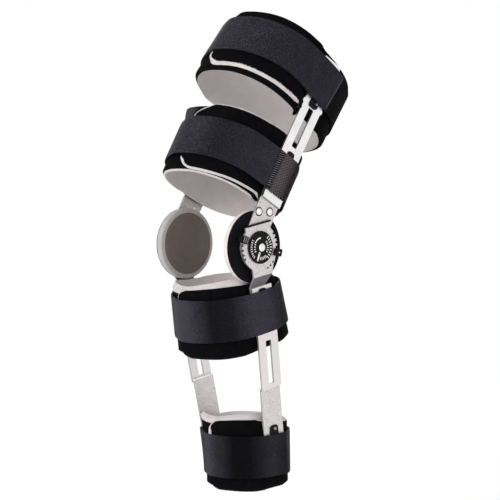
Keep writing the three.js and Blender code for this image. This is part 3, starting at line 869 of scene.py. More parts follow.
def pale_border(name, cuff, bm):
    """Finders of the nearest border of the outer cloth, for each half of the sheet, with the pale reach."""
    edges = [
        edge for edge in bm.edges
        if {face.material_index for face in edge.link_faces} == {COVER, EDGE}
    ]
    table = PALE_EDGES[name]
    points = {True: [], False: []}
    tips = [
        vertex.co.z for edge in edges for vertex in edge.verts
        if along_sheet(cuff, vertex.co) < OUTER_TIP + TIP_FADE
    ]
    for edge in edges:
        ends = [vertex.co for vertex in edge.verts]
        count = max(1, round(edge.calc_length() / BORDER_STEP))
        for index in range(count + 1):
            place = ends[0].lerp(ends[1], index / count)
            turn = along_sheet(cuff, place)
            side = "top" if place.z > 0 else "bottom"
            reach = value_at(table[side], turn)
            height, tip_reach, corner = table[f"tip_{side}"]
            from_border = place.z - min(tips) if side == "bottom" else max(tips) - place.z
            at_tip = 1 - smoothstep(OUTER_TIP + corner - TIP_FADE, OUTER_TIP + corner + TIP_FADE, turn)
            reach += ((tip_reach if from_border < height else DARK) - reach) * at_tip
            points[turn > MIDDLE_TURN].append((place, reach))
    finders = {}
    for half, found in points.items():
        tree = KDTree(len(found))
        for index, (place, _) in enumerate(found):
            tree.insert(place, index)
        tree.balance()
        finders[half] = (tree, [reach for _, reach in found])
    return finders


def mark_pale(cuff, bm, finders):
    """Writes on each point of a wrap how far inside the pale foam it lies."""
    layer = bm.verts.layers.float.new("pale")
    on_cover = [
        vertex for vertex in bm.verts
        if any(face.material_index == COVER for face in vertex.link_faces)
    ]
    half_of = {
        vertex: along_sheet(cuff, vertex.co) > MIDDLE_TURN for vertex in on_cover
        if not is_flap_end(cuff, vertex.co)
    }
    covered = set(on_cover)
    queue = list(half_of)
    while queue:
        spread = []
        for vertex in queue:
            for edge in vertex.link_edges:
                other = edge.other_vert(vertex)
                if other not in half_of:
                    half_of[other] = half_of[vertex]
                    spread.append(other)
        queue = spread
    for vertex, half in half_of.items():
        tree, reaches = finders[half]
        _, index, distance = tree.find(vertex.co)
        vertex[layer] = reaches[index] + (-distance if vertex in covered else distance)
    return half_of


def bar_edge(cuff, level):
    """Degrees at which the front edge of the bar lies on a wrap."""
    front = bar_middle(cuff, level) - BAR_WIDTH / 2
    return math.degrees(math.atan2(front, outline_radius(cuff, 0)))


def stretched(angle, root, end, new_end):
    """An angle between a root and an end, once the end is moved."""
    return root + (angle - root) * (new_end - root) / (end - root)


def draw_flaps(name, cuff, half_of):
    """Draws the inner flap on under the bar, inside the outer sheet, and the outer flap to its own end."""
    curl, height = cuff["curl"]
    start, end = DROPS[name]
    for vertex, is_inner in half_of.items():
        angle = angle_of(vertex.co)
        level = max(-1.0, min(1.0, vertex.co.z / TIP_LEVEL))
        cut = cuff["cut"] * smoothstep(STRAP_HALF, STRAP_HALF + FLARE_RISE, vertex.co.z)
        tip = cuff["tip"] + cuff["tip_lean"] * level + cut + 360
        turned = angle
        if is_inner and INNER_ROOT < angle < 0:
            turned = stretched(angle, INNER_ROOT, INNER_TIP, cuff["inner"])
        elif not is_inner and OUTER_TIP + 360 - TIP_BACK < angle < OUTER_ROOT:
            turned = stretched(angle, OUTER_ROOT, OUTER_TIP + 360, tip)
        elif is_inner or not OUTER_ROOT <= angle < 0:
            continue
        radius = vertex.co.xy.length - outline_radius(cuff, angle) + outline_radius(cuff, turned)
        fall = value_at(FALLS[name], turned)
        free = smoothstep(STRAP_HALF, STRAP_HALF + FLARE_RISE, abs(vertex.co.z))
        edge = bar_edge(cuff, vertex.co.z)
        radius += fall * free * (1 - smoothstep(edge - start, edge - end, turned))
        if is_inner:
            radius -= fall
        vertex.co.x = radius * math.cos(math.radians(turned))
        vertex.co.y = radius * math.sin(math.radians(turned))
        if not is_inner and turned < tip + curl:
            share = (1 - max(turned - tip, 0) / curl) ** 2
            vertex.co.z += height * share * smoothstep(*CURL_RISE, -vertex.co.z)


def raise_margin(name, bm):
    """Lets a wrap's top margin stand up and flare out along its length."""
    for vertex in bm.verts:
        angle = angle_of(vertex.co)
        free = smoothstep(STRAP_HALF, STRAP_HALF + FLARE_RISE, vertex.co.z)
        if name in LOW_BACKS and angle > 0:
            free = smoothstep(STRAP_HALF - LOW_BACKS[name], STRAP_HALF, vertex.co.z)
        outward = outward_of(vertex.co)
        vertex.co.z += free * value_at(MARGIN_RISE[name], angle)
        vertex.co += outward * free * value_at(MARGIN_FLARE[name], angle)


def turn_hem(name, bm):
    """Turns the dark outer cloth in over part of a wrap's top edge."""
    layer = bm.verts.layers.float["pale"]
    start, end, deep = HEMS[name]
    top = max(vertex.co.z for vertex in bm.verts)
    for face in bm.faces:
        middle = face.calc_center_median()
        if face.material_index == LINING and middle.z > top - deep and start < angle_of(middle) < end:
            face.material_index = COVER
            for vertex in face.verts:
                vertex[layer] = DARK


def wear_flap(name, bm, half_of):
    """Marks where the top margin of a wrap's inner flap is worn grey."""
    layer = bm.verts.layers.float["wear_and_painted_sheen"]
    start, end = WORN[name]
    for vertex, is_inner in half_of.items():
        angle = angle_of(vertex.co)
        share = smoothstep(end - WORN_FADE, end + WORN_FADE, angle)
        share *= 1 - smoothstep(start - WORN_FADE, start + WORN_FADE, angle)
        if is_inner and vertex.co.z > 0:
            vertex[layer] = share


def ripple_wrap(bm, look):
    """Lets the free margins of a wrap wander a little, up and down and in and out."""
    for vertex in bm.verts:
        free = smoothstep(STRAP_HALF, STRAP_HALF + look.margin, abs(vertex.co.z))
        spot = vertex.co * look.ripple_scale
        spot.z = RIPPLE_SEED * (1 if vertex.co.z > 0 else 2)
        rise = noise.noise(spot)
        swing = noise.noise(spot + Vector((RIPPLE_SEED, 0, 0)))
        outward = outward_of(vertex.co)
        vertex.co.z += free * rise * look.ripple
        vertex.co += outward * free * swing * look.ripple


def build_wrap(name, cuff, look, materials):
    """One padded wrap: the foam with its rounded edges, swollen beside the strap."""
    frame = cuff_frame(cuff)
    bm = band_copy(f"{name}_wrap", frame)
    for face in bm.faces:
        face.material_index = wrap_zone(face)
    finders = pale_border(name, cuff, bm)
    borders = [
        edge for edge in bm.edges
        if len({face.material_index for face in edge.link_faces}) > 1
    ]
    round_edges(bm, borders, look.edge_round, EDGE_SEGMENTS)
    bmesh.ops.subdivide_edges(bm, edges=rungs_of(bm), cuts=WRAP_ROWS, use_grid_fill=True)
    bm.verts.layers.float.new("wear_and_painted_sheen")
    half_of = mark_pale(cuff, bm, finders)
    draw_flaps(name, cuff, half_of)
    if name in WORN:
        wear_flap(name, bm, half_of)
    if name in HEMS:
        turn_hem(name, bm)
    if name in MARGIN_RISE:
        raise_margin(name, bm)
    ripple_wrap(bm, look)
    cloth_uv(bm, sum(cuff["half"]) / 2)
    held = set()
    for face in bm.faces:
        for vertex in face.verts:
            place = vertex.co
            by_bar = abs(place.y - bar_middle(cuff, place.z)) < BAR_CLEAR
            if face.material_index == LINING or abs(place.z) < STRAP_HALF or by_bar:
                held.add(vertex.index)
    for face in bm.faces:
        face.material_index = 1 if face.material_index == LINING else 0
    bm.transform(frame)
    obj = new_object(f"{name}_padding", bm, materials)
    swell(obj, sorted(held), look.pressure, look.swell_cap, look.frames)
    subdivide(obj, 1)
    seat(obj, cuff["body"], "wrap_foam", f"{name}_wrap")


class BraceWrapLook(bpy.types.PropertyGroup):
    """Sizes and colours of the padded wraps."""

    worn_color: bpy.props.FloatVectorProperty(
        name="Worn cloth", description="Colour of the outer cloth where it is worn", subtype="COLOR",
        default=(0.045, 0.043, 0.052), min=0, max=1,
    )
    cover_color: bpy.props.FloatVectorProperty(
        name="Cover", description="Colour of the looped outer cloth", subtype="COLOR",
        default=(0.0016, 0.0015, 0.0020), min=0, max=1,
    )
    edge_color: bpy.props.FloatVectorProperty(
        name="Cut edge", description="Colour of the cut foam", subtype="COLOR",
        default=(0.60, 0.56, 0.55), min=0, max=1,
    )
    lining_color: bpy.props.FloatVectorProperty(
        name="Lining", description="Colour of the brushed lining", subtype="COLOR",
        default=(0.66, 0.62, 0.61), min=0, max=1,
    )
    edge_round: bpy.props.FloatProperty(
        name="Edge rounding", description="Radius of the foam's edges", default=0.0007, unit="LENGTH",
    )
    margin: bpy.props.FloatProperty(
        name="Margin", description="Free foam beyond the strap", default=0.012, unit="LENGTH",
    )
    ripple: bpy.props.FloatProperty(
        name="Ripple", description="How far the margins wander", default=0.0011, unit="LENGTH",
    )
    ripple_scale: bpy.props.FloatProperty(
        name="Ripple scale", description="Waves per metre along the margins", default=24.0,
    )
    pressure: bpy.props.FloatProperty(
        name="Pressure", description="How hard the foam pushes out beside the strap", default=3.0,
    )
    swell_cap: bpy.props.FloatProperty(
        name="Swelling", description="The most that the foam swells", default=0.0016, unit="LENGTH",
    )
    frames: bpy.props.IntProperty(
        name="Frames", description="Length of the swelling", default=14, min=2,
    )
    fill: bpy.props.FloatProperty(
        name="Fill", description="How tight the foam is", default=0.7, min=0, max=1,
    )


class BRACE_OT_wraps(bpy.types.Operator):
    """Builds the four padded wraps"""

    bl_idname = "brace.wraps"
    bl_label = "Padded wraps"

    def execute(self, context):
        look = context.scene.brace_wraps
        cloth = (look.cover_color, scaled(look.cover_color, LOOP_LINT))
        foam = (scaled(look.edge_color, FOAM_SHADOW), look.edge_color)
        materials = [
            padding_material(
                "looped_cloth", cloth, look.worn_color, foam, Roughness=0.95, Specular_IOR_Level=0.04,
            ),
            cloth_material(
                "brushed_lining", scaled(look.lining_color, LINING_NAP), look.lining_color,
                pitch=0.0013, depth=0.0003, Roughness=0.95, Specular_IOR_Level=0.15, Sheen_Weight=0.2,
            ),
        ]
        for name, cuff in CUFFS.items():
            build_wrap(name, cuff, look, materials)
        return {"FINISHED"}


# Straps


def strap_surface(obj, frame):
    """A finder for points on a strap's outer face: angle and level in, place and normal out."""
    graph = bpy.context.evaluated_depsgraph_get()
    tree = BVHTree.FromObject(obj, graph)

    def point_at(angle, level):
        outward = Vector((math.cos(math.radians(angle)), math.sin(math.radians(angle)), 0))
        start = frame @ (outward * RAY_START + Vector((0, 0, level)))
        toward = frame.to_3x3() @ -outward
        place, normal, _, _ = tree.ray_cast(start, toward)
        if place is None:
            raise RuntimeError(f"{obj.name} has no face at {angle} degrees")
        return place, normal

    return point_at


def cut_round(bm, angle):
    """Cuts a band across at one angle, on that side only."""
    way = Vector((math.cos(math.radians(angle)), math.sin(math.radians(angle)), 0))
    near = [face for face in bm.faces if face.calc_center_median().dot(way) > 0]
    geom = set(near)
    for face in near:
        geom.update(face.edges)
        geom.update(face.verts)
    across = Vector((-way.y, way.x, 0))
    bmesh.ops.bisect_plane(bm, geom=list(geom), plane_co=(0, 0, 0), plane_no=across, dist=CUT_NEAR)


def thin_join(bm, join, step):
    """Makes the woven length behind a strap's join thinner, in the second material."""
    for angle in {join["at"], join["at"] + join["band"], join["to"]}:
        cut_round(bm, angle - JOIN_HALF)
        cut_round(bm, angle + JOIN_HALF)
    bm.normal_update()
    for face in bm.faces:
        middle = face.calc_center_median()
        if join["at"] + JOIN_HALF / 2 < angle_of(middle) < join["to"]:
            face.material_index = 1
    for vertex in bm.verts:
        is_outer = vertex.normal.xy.dot(vertex.co.xy.normalized()) > OUTER_FACING
        if is_outer and join["at"] < angle_of(vertex.co) < join["to"]:
            vertex.co -= outward_of(vertex.co) * step


def build_strap(name, cuff, look, materials):
    """One strap: a loop of flat webbing with rounded edges, and its sewn join."""
    frame = cuff_frame(cuff)
    bm = band_copy(f"{name}_strap", frame)
    rims = [
        edge for edge in bm.edges
        if abs(edge.verts[0].co.z - edge.verts[1].co.z) < LEVEL_GAP
        and abs(edge.calc_face_angle(0.0)) > STRAP_RIM
    ]
    round_edges(bm, rims, look.edge_round, EDGE_SEGMENTS)
    bmesh.ops.subdivide_edges(bm, edges=rungs_of(bm), cuts=STRAP_ROWS, use_grid_fill=True)
    if name in STRAP_JOINS:
        thin_join(bm, STRAP_JOINS[name], look.step)
    for _ in range(look.soften):
        bmesh.ops.smooth_vert(
            bm, verts=bm.verts, factor=STRAP_SMOOTHING, use_axis_x=True, use_axis_y=True, use_axis_z=False,
        )
    # Painted sheen along each strap, pale where light falls on it and dark in shade, and its lint
    strap_sheen_layer = bm.verts.layers.float.new("wear_and_painted_sheen")
    lint = bm.verts.layers.float.new("linty")
    for vertex in bm.verts:
        outward = outward_of(vertex.co)
        vertex[strap_sheen_layer] = value_at(STRAP_PAINTED_SHEEN[name], angle_of(vertex.co))
        vertex[lint] = value_at(STRAP_LINT[name], angle_of(vertex.co))
        vertex.co += outward * (noise.noise(vertex.co * look.ripple_scale) * look.ripple + look.clear)
        vertex.co.z -= cuff["sag"] * (1 - outward.y) / 2
    cloth_uv(bm, sum(cuff["half"]) / 2)
    bm.transform(frame)
    obj = new_object(f"{name}_webbing", bm, materials[:2])
    subdivide(obj, STRAP_LEVELS)
    seat(obj, cuff["body"], "strap_webbing", f"{name}_strap")
    return obj


def build_stitches(name, cuff, strap, look, material):
    """The thread of a strap's sewn join: a row of short raised stitches."""
    frame = cuff_frame(cuff)
    join = STRAP_JOINS[name]
    turn = math.radians(join["turn"])
    rings, rows = STITCH_SEGMENTS
    point_at = strap_surface(strap, frame)
    bm = bmesh.new()
    reach = STRAP_HALF - look.stitch_inset
    count = int(2 * reach / join["pitch"])
    for index in range(count + 1):
        place, normal = point_at(join["at"] + join["row"], -reach + index * join["pitch"])
        upward = frame.to_3x3() @ Vector((0, 0, 1))
        sideways = upward.cross(normal).normalized()
        length = (normal.cross(sideways) * math.cos(turn) - sideways * math.sin(turn)).normalized()
        axes = Matrix((length, normal.cross(length), normal)).transposed().to_4x4()
        size = Matrix.Diagonal((join["half"], look.thread, look.thread, 1))
        bmesh.ops.create_uvsphere(
            bm, u_segments=rings, v_segments=rows, radius=1.0,
            matrix=Matrix.Translation(place) @ axes @ size,
        )
    obj = new_object(f"{name}_stitches", bm, [material])
    seat(obj, cuff["body"], "strap_webbing")
    return obj


class BraceStrapLook(bpy.types.PropertyGroup):
    """Sizes and colours of the straps."""

    color: bpy.props.FloatVectorProperty(
        name="Strap", description="Colour of the smooth strap", subtype="COLOR",
        default=(0.0016, 0.0015, 0.0020), min=0, max=1,
    )
    woven_color: bpy.props.FloatVectorProperty(
        name="Woven length", description="Colour of the woven length over the bar", subtype="COLOR",
        default=(0.0024, 0.0020, 0.0021), min=0, max=1,
    )
    thread_color: bpy.props.FloatVectorProperty(
        name="Thread", description="Colour of the stitches", subtype="COLOR",
        default=(0.14, 0.135, 0.155), min=0, max=1,
    )
    edge_round: bpy.props.FloatProperty(
        name="Edge rounding", description="Radius of the strap's edges", default=0.0007, unit="LENGTH",
    )
    step: bpy.props.FloatProperty(
        name="Step", description="How much thinner the woven length is", default=0.0007, unit="LENGTH",
    )
    soften: bpy.props.IntProperty(
        name="Softening", description="How often the strap is smoothed over the bars", default=3, min=0,
    )
    clear: bpy.props.FloatProperty(
        name="Clearance", description="How far the smoothed strap is let out again", default=0.0004,
        unit="LENGTH",
    )
    ripple: bpy.props.FloatProperty(
        name="Ripple", description="How far the strap wanders", default=0.0003, unit="LENGTH",
    )
    ripple_scale: bpy.props.FloatProperty(
        name="Ripple scale", description="Waves per metre along the strap", default=26.0,
    )
    thread: bpy.props.FloatProperty(
        name="Thread size", description="Radius of the thread", default=0.00055, unit="LENGTH",
    )
    stitch_inset: bpy.props.FloatProperty(
        name="Stitch inset", description="From the strap's edge to the first stitch", default=0.0025,
        unit="LENGTH",
    )


class BRACE_OT_straps(bpy.types.Operator):
    """Builds the four straps and their stitching"""

    bl_idname = "brace.straps"
    bl_label = "Straps"

    def execute(self, context):
        look = context.scene.brace_straps
        smooth, woven, thread = look.color, look.woven_color, look.thread_color
        materials = [
            strap_material(
                "smooth_strap", smooth, scaled(smooth, STRAP_SHEEN), scaled(smooth, STRAP_FLUFF),
                SMOOTH_WEAVE, SMOOTH_GLOSS, Specular_IOR_Level=0.03,
            ),
            strap_material(
                "woven_strap", woven, scaled(woven, RIB_SHEEN), scaled(woven, RIB_FLUFF),
                RIBBED_WEAVE, RIBBED_GLOSS, Specular_IOR_Level=0.03,
            ),
            cloth_material(
                "stitch_thread", scaled(thread, THREAD_SHADOW), thread, pitch=0.0006, depth=0.0001,
                on_uv=False, Roughness=0.6, Specular_IOR_Level=0.3,
            ),
        ]
        for name, cuff in CUFFS.items():
            strap = build_strap(name, cuff, look, materials)
            if name in STRAP_JOINS:
                build_stitches(name, cuff, strap, look, materials[2])
        return {"FINISHED"}


# Condyle pads


def pad_profile(look):
    """Half a pad's section from the middle of its hinge side round to the middle of its leg side."""
    rim = look.rim
    flat = PAD_RADIUS - rim
    hinge_side = PAD_HINGE_SIDE - look.hinge_inset
    leg_side = PAD_LEG_SIDE + look.crown
    section = [(hinge_side, share * flat) for share in PAD_FACE_SHARES]
    section += [
        (hinge_side - rim * PAD_ROUND, PAD_RADIUS - rim * PAD_ROUND),
        (hinge_side - rim, PAD_RADIUS),
        (PAD_LEG_SIDE + (PAD_HINGE_SIDE - PAD_LEG_SIDE) * PAD_WAIST, PAD_RADIUS),
        (leg_side + rim, PAD_RADIUS),
        (leg_side + rim * PAD_ROUND, PAD_RADIUS - rim * PAD_ROUND),
        (leg_side, flat),
    ]
    for share in PAD_CROWN_SHARES:
        lift = look.crown * (1 - smoothstep(0.0, 1.0, share))
        section.append((leg_side - lift, share * flat))
    return [Vector((across, 0, radius)) for across, radius in section]


def pad_zone(face, sign, look):
    """Which of a pad's faces this is."""
    middle = face.calc_center_median()
    radius = math.hypot(middle.y, middle.z)
    if radius < PAD_RADIUS - look.border:
        return COVER if middle.x * sign > (PAD_HINGE_SIDE + PAD_LEG_SIDE) / 2 else LINING
    return COVER if middle.x * sign > PAD_HINGE_SIDE - look.rim else EDGE


def build_pad(side, sign, look, materials):
    """One round pad: a foam disc, spun, crowned towards the leg and swollen a little."""
    bm = bmesh.new()
    verts = [bm.verts.new(point) for point in pad_profile(look)]
    for here, after in zip(verts, verts[1:]):
        bm.edges.new((here, after))
    bmesh.ops.spin(
        bm, geom=bm.verts[:] + bm.edges[:], cent=(0, 0, 0), axis=(1, 0, 0), angle=math.tau,
        steps=PAD_STEPS, use_merge=True,
    )
    bmesh.ops.remove_doubles(bm, verts=bm.verts, dist=WELD)
    if sign < 0:
        bmesh.ops.scale(bm, vec=(-1, 1, 1), verts=bm.verts)
    bmesh.ops.recalc_face_normals(bm, faces=bm.faces)
    bm.normal_update()
    for face in bm.faces:
        face.material_index = pad_zone(face, sign, look)
    hinge_side = PAD_HINGE_SIDE - look.rim
    held = [vertex.index for vertex in bm.verts if vertex.co.x * sign > hinge_side]
    obj = new_object(f"condyle_cushion_{side}", bm, materials)
    swell(obj, held, look.pressure, look.swell_cap, look.frames)
    subdivide(obj, 1)
    seat(obj, "thigh", "pad_foam", f"condyle_pad_{side}")


class BracePadLook(bpy.types.PropertyGroup):
    """Sizes and colours of the two condyle pads."""

    face_color: bpy.props.FloatVectorProperty(
        name="Hinge side", description="Colour of the cloth under the hinge", subtype="COLOR",
        default=(0.0032, 0.0032, 0.0045), min=0, max=1,
    )
    lateral_rim: bpy.props.FloatVectorProperty(
        name="Lateral rim", description="Colour of the foam's rim on the dial side", subtype="COLOR",
        default=(0.70, 0.64, 0.59), min=0, max=1,
    )
    medial_rim: bpy.props.FloatVectorProperty(
        name="Medial rim", description="Colour of the foam's rim on the far side", subtype="COLOR",
        default=(0.44, 0.42, 0.41), min=0, max=1,
    )
    leg_color: bpy.props.FloatVectorProperty(
        name="Leg side", description="Colour of the cloth against the knee", subtype="COLOR",
        default=(0.170, 0.138, 0.130), min=0, max=1,
    )
    rim: bpy.props.FloatProperty(
        name="Rim rounding", description="Radius of the pad's edges", default=0.0022, unit="LENGTH",
    )
    border: bpy.props.FloatProperty(
        name="Border", description="Width of foam that shows round the leg side", default=0.0065,
        unit="LENGTH",
    )
    crown: bpy.props.FloatProperty(
        name="Crown", description="Rise of the pad's middle towards the leg", default=0.0012,
        unit="LENGTH",
    )
    hinge_inset: bpy.props.FloatProperty(
        name="Hinge clearance", description="From the pad's cloth to its solid", default=0.0002,
        unit="LENGTH",
    )
    pressure: bpy.props.FloatProperty(
        name="Pressure", description="How hard the foam pushes out", default=4.0,
    )
    swell_cap: bpy.props.FloatProperty(
        name="Swelling", description="The most that the foam swells", default=0.0010, unit="LENGTH",
    )
    frames: bpy.props.IntProperty(
        name="Frames", description="Length of the swelling", default=14, min=2,
    )


class BRACE_OT_pads(bpy.types.Operator):
    """Builds the two round pads beside the knee"""

    bl_idname = "brace.pads"
    bl_label = "Condyle pads"

    def execute(self, context):
        look = context.scene.brace_pads
        cloth = cloth_material(
            "pad_cloth", look.face_color, scaled(look.face_color, LOOP_LINT), pitch=0.0016, depth=0.0004,
            on_uv=False, Roughness=0.9, Specular_IOR_Level=0.08,
        )
        lining = cloth_material(
            "pad_lining", scaled(look.leg_color, PAD_NAP), look.leg_color, pitch=0.0014, depth=0.0003,
            on_uv=False, Roughness=0.95, Specular_IOR_Level=0.1,
        )
        rims = {"lateral": look.lateral_rim, "medial": look.medial_rim}
        for side, sign in SIDES.items():
            foam = foam_material(
                f"{side}_pad_foam", scaled(rims[side], FOAM_SHADOW), rims[side], Roughness=0.9,
                Specular_IOR_Level=0.15,
            )
            build_pad(side, sign, look, [cloth, foam, lining])
        return {"FINISHED"}


# Uprights


def paint_top_highlight(bm, height):
    """Marks a bright strip along the top edge of an ankle plate: a painted highlight."""
    upward = LEGS["shin"] @ Vector((0, 0, 1))
    level = max(vertex.co.dot(upward) for vertex in bm.verts) - height
    geom = bm.verts[:] + bm.edges[:] + bm.faces[:]
    bmesh.ops.bisect_plane(bm, geom=geom, plane_co=upward * level, plane_no=upward, dist=CUT_NEAR)
    for face in bm.faces:
        if face.calc_center_median().dot(upward) > level:
            face.material_index = TOP_HIGHLIGHT


def widen_neck(bm, width):
    """Lets the lower arm be a little wider behind, from the hinge down to its bend."""
    bm.transform(LEGS["shin"].inverted())
    for vertex in bm.verts:
        if vertex.co.y > 0:
            down = -vertex.co.z
            share = smoothstep(NECK["from"], NECK["full"], down)
            share *= 1 - smoothstep(NECK["fade"], NECK["end"], down)
            vertex.co.y += width * share
    bm.transform(LEGS["shin"])


def build_plate(node, body, look, materials):
    """One piece of metal: flat faces joined, edges eased, its sides darker as sheared metal with painted
    shade, and its bends painted dark as shade.
    """
    bm = merged_copy(node)
    join_flats(bm)
    is_arm = node.startswith("lower_arm")
    if is_arm:
        bmesh.ops.dissolve_degenerate(bm, dist=SHORT_EDGE, edges=bm.edges)
        widen_neck(bm, look.neck)
    if node.startswith("ankle_plate"):
        # Painted highlight along the plate's top edge
        paint_top_highlight(bm, look.top_highlight_height)
    bm.normal_update()
    for face in bm.faces:
        facing = abs(face.normal.x)
        if face.material_index != TOP_HIGHLIGHT:
            is_bend = is_arm and CUT_FACING < facing < BEND_FACING
            face.material_index = SHADED_BEND if is_bend else int(facing < CUT_FACING)
    ease_sharp(bm, look.edge_round, EASED_SEGMENTS)
    obj = new_object(f"{node}_metal", bm, materials)
    weigh_normals(obj, SHARP)
    seat(obj, body, "plate_metal", node)


def build_rivet_shade_rings(side, sign, look, material):
    """Painted shade in the gap round each rivet's head: a thin dark ring on the arm."""
    bm = bmesh.new()
    corners = [
        (0, look.ring_inner), (look.ring_rise, look.ring_inner),
        (look.ring_rise, look.ring_outer), (0, look.ring_outer),
    ]
    for node in ("rivet_front", "rivet_back"):
        low, high = (Vector(corner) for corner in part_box(f"{node}_{side}"))
        ring = bmesh.new()
        spin_section(ring, corners, 0.0, math.tau, RING_STEPS)
        if sign < 0:
            to_far_side(ring)
        middle = (low + high) / 2
        bmesh.ops.translate(ring, vec=(sign * UPPER_ARM_FACE, middle.y, middle.z), verts=ring.verts)
        mesh = bpy.data.meshes.new("ring")
        ring.to_mesh(mesh)
        ring.free()
        bm.from_mesh(mesh)
        bpy.data.meshes.remove(mesh)
    seat(new_object(f"rivet_shade_rings_{side}", bm, [material]), "thigh", "plate_metal")


class BraceMetalLook(bpy.types.PropertyGroup):
    """Sizes and colours of the metal."""

    bright: bpy.props.FloatVectorProperty(
        name="Bright", description="Colour of the bars of the thigh, the pins and the rivets",
        subtype="COLOR", default=(0.95, 0.94, 0.945), min=0, max=1,
    )
    satin: bpy.props.FloatVectorProperty(
        name="Satin", description="Colour of the bars of the shin", subtype="COLOR",
        default=(0.80, 0.75, 0.75), min=0, max=1,
    )
    neck: bpy.props.FloatProperty(
        name="Neck", description="How much wider the lower arms are between hinge and bend",
        default=0.0035, unit="LENGTH",
    )
    # A painted highlight: the bright strip at the ankle plates' top
    top_highlight_height: bpy.props.FloatProperty(
        name="Rubbed edge", description="Height of the bright strip at the ankle plates' top",
        default=0.0020, unit="LENGTH",
    )
    speckled: bpy.props.FloatVectorProperty(
        name="Speckled", description="Colour of the arms and plates", subtype="COLOR",
        default=(0.72, 0.69, 0.69), min=0, max=1,
    )
    speck: bpy.props.FloatVectorProperty(
        name="Speck", description="Colour of the dark specks", subtype="COLOR",
        default=(0.42, 0.40, 0.40), min=0, max=1,
    )
    # Painted shade in the lower arm's bend, where it faces down
    bend: bpy.props.FloatVectorProperty(
        name="Bend", description="Colour of the dull metal in the arm's bend", subtype="COLOR",
        default=(0.13, 0.125, 0.13), min=0, max=1,
    )
    # The metal's sides: a sheared finish, darkened further as painted shade
    cut: bpy.props.FloatVectorProperty(
        name="Cut sides", description="Colour of the metal's sheared sides", subtype="COLOR",
        default=(0.42, 0.42, 0.43), min=0, max=1,
    )
    edge_round: bpy.props.FloatProperty(
        name="Edge rounding", description="Radius of the eased edges", default=0.00035, unit="LENGTH",
    )
    # Painted shade: the dark ring round each rivet's head
    rivet_shade_color: bpy.props.FloatVectorProperty(
        name="Rivet gap", description="Colour of the dark gap round the rivets", subtype="COLOR",
        default=(0.06, 0.06, 0.065), min=0, max=1,
    )
    ring_inner: bpy.props.FloatProperty(
        name="Gap inside", description="Inner radius of the gap round a rivet", default=0.0036,
        unit="LENGTH",
    )
    ring_outer: bpy.props.FloatProperty(
        name="Gap outside", description="Outer radius of the gap round a rivet", default=0.0056,
        unit="LENGTH",
    )
    ring_rise: bpy.props.FloatProperty(
        name="Gap rise", description="Thickness of the ring in the gap", default=0.0003, unit="LENGTH",
    )


class BRACE_OT_uprights(bpy.types.Operator):
    """Builds the bars, arms, plates, pins and rivets of both uprights"""

    bl_idname = "brace.uprights"
    bl_label = "Uprights"

    def execute(self, context):
        look = context.scene.brace_metal
        bright = metal_material(
            "bright_metal", look.speckled, look.bright, smooth=0.28, rough=0.42, level=0.60,
        )
        satin = metal_material(
            "satin_metal", look.speckled, look.satin, smooth=0.30, rough=0.45, level=0.56,
        )
        speckled = metal_material(
            "speckled_metal", look.speck, look.speckled, smooth=0.35, rough=0.55, level=0.52,
        )
        # Sides of the metal: sheared finish with painted shade
        cut = metal_material(
            "cut_side_shade_metal", scaled(look.cut, CUT_SHADOW), look.cut, smooth=0.4, rough=0.6, level=0.5,
        )
        # Painted shade in the arm's bend
        bend = metal_material(
            "shaded_bend_metal", look.bend, scaled(look.bend, BEND_SHADE_SPREAD), smooth=0.45, rough=0.6, level=0.5,
        )
        # Painted shade round the rivets
        gap = metal_material(
            "rivet_shade", scaled(look.rivet_shade_color, RIVET_SHADE_DEPTH), look.rivet_shade_color, smooth=0.5, rough=0.7, level=0.5,
        )
        finishes = [(SPECKLED, [speckled, cut, bend, bright]), (SATIN, [satin, cut]), (BRIGHT, [bright, cut])]
        for side in SIDES:
            for bodies, materials in finishes:
                for stem, body in bodies.items():
                    build_plate(f"{stem}_{side}", body, look, materials)
        for side, sign in SIDES.items():
            build_rivet_shade_rings(side, sign, look, gap)
        return {"FINISHED"}


# Keepers


def build_keeper(name, keeper, side, sign, look, materials):
    """A small black plastic tongue on a bar where it goes under a strap, some with a screw."""
    bm = bmesh.new()
    thick = look.keeper_thick
    add_block(bm, Matrix.Identity(4), (thick, keeper["wide"], keeper["tall"]))
    round_edges(bm, sideways_edges(bm), keeper["wide"] * KEEPER_CORNER["share"], KEEPER_CORNER["segments"])
    outer = [edge for edge in bm.edges if all(vertex.co.x > 0 for vertex in edge.verts)]
    round_edges(bm, outer, thick * KEEPER_RIM["share"], KEEPER_RIM["segments"])
    if keeper["screw"]:
        spot = Matrix.Translation((thick / 2, *keeper["screw"]))
        head = add_button(
            bm, spot, look.screw_radius, SCREW_HEAD["top"], look.screw_rise * 2, SCREW_HEAD["segments"],
        )
        paint(head, 1)
    place = Vector((keeper["face"] + thick / 2, BAR_BEHIND[keeper["leg"]], keeper["along"]))
    bmesh.ops.translate(bm, vec=place, verts=bm.verts)
    if sign < 0:
        to_far_side(bm)
    bm.transform(LEGS[keeper["leg"]])
    obj = new_object(f"{name}_{side}", bm, materials)
    weigh_normals(obj, SHARP)
    seat(obj, keeper["body"], "black_plastic")


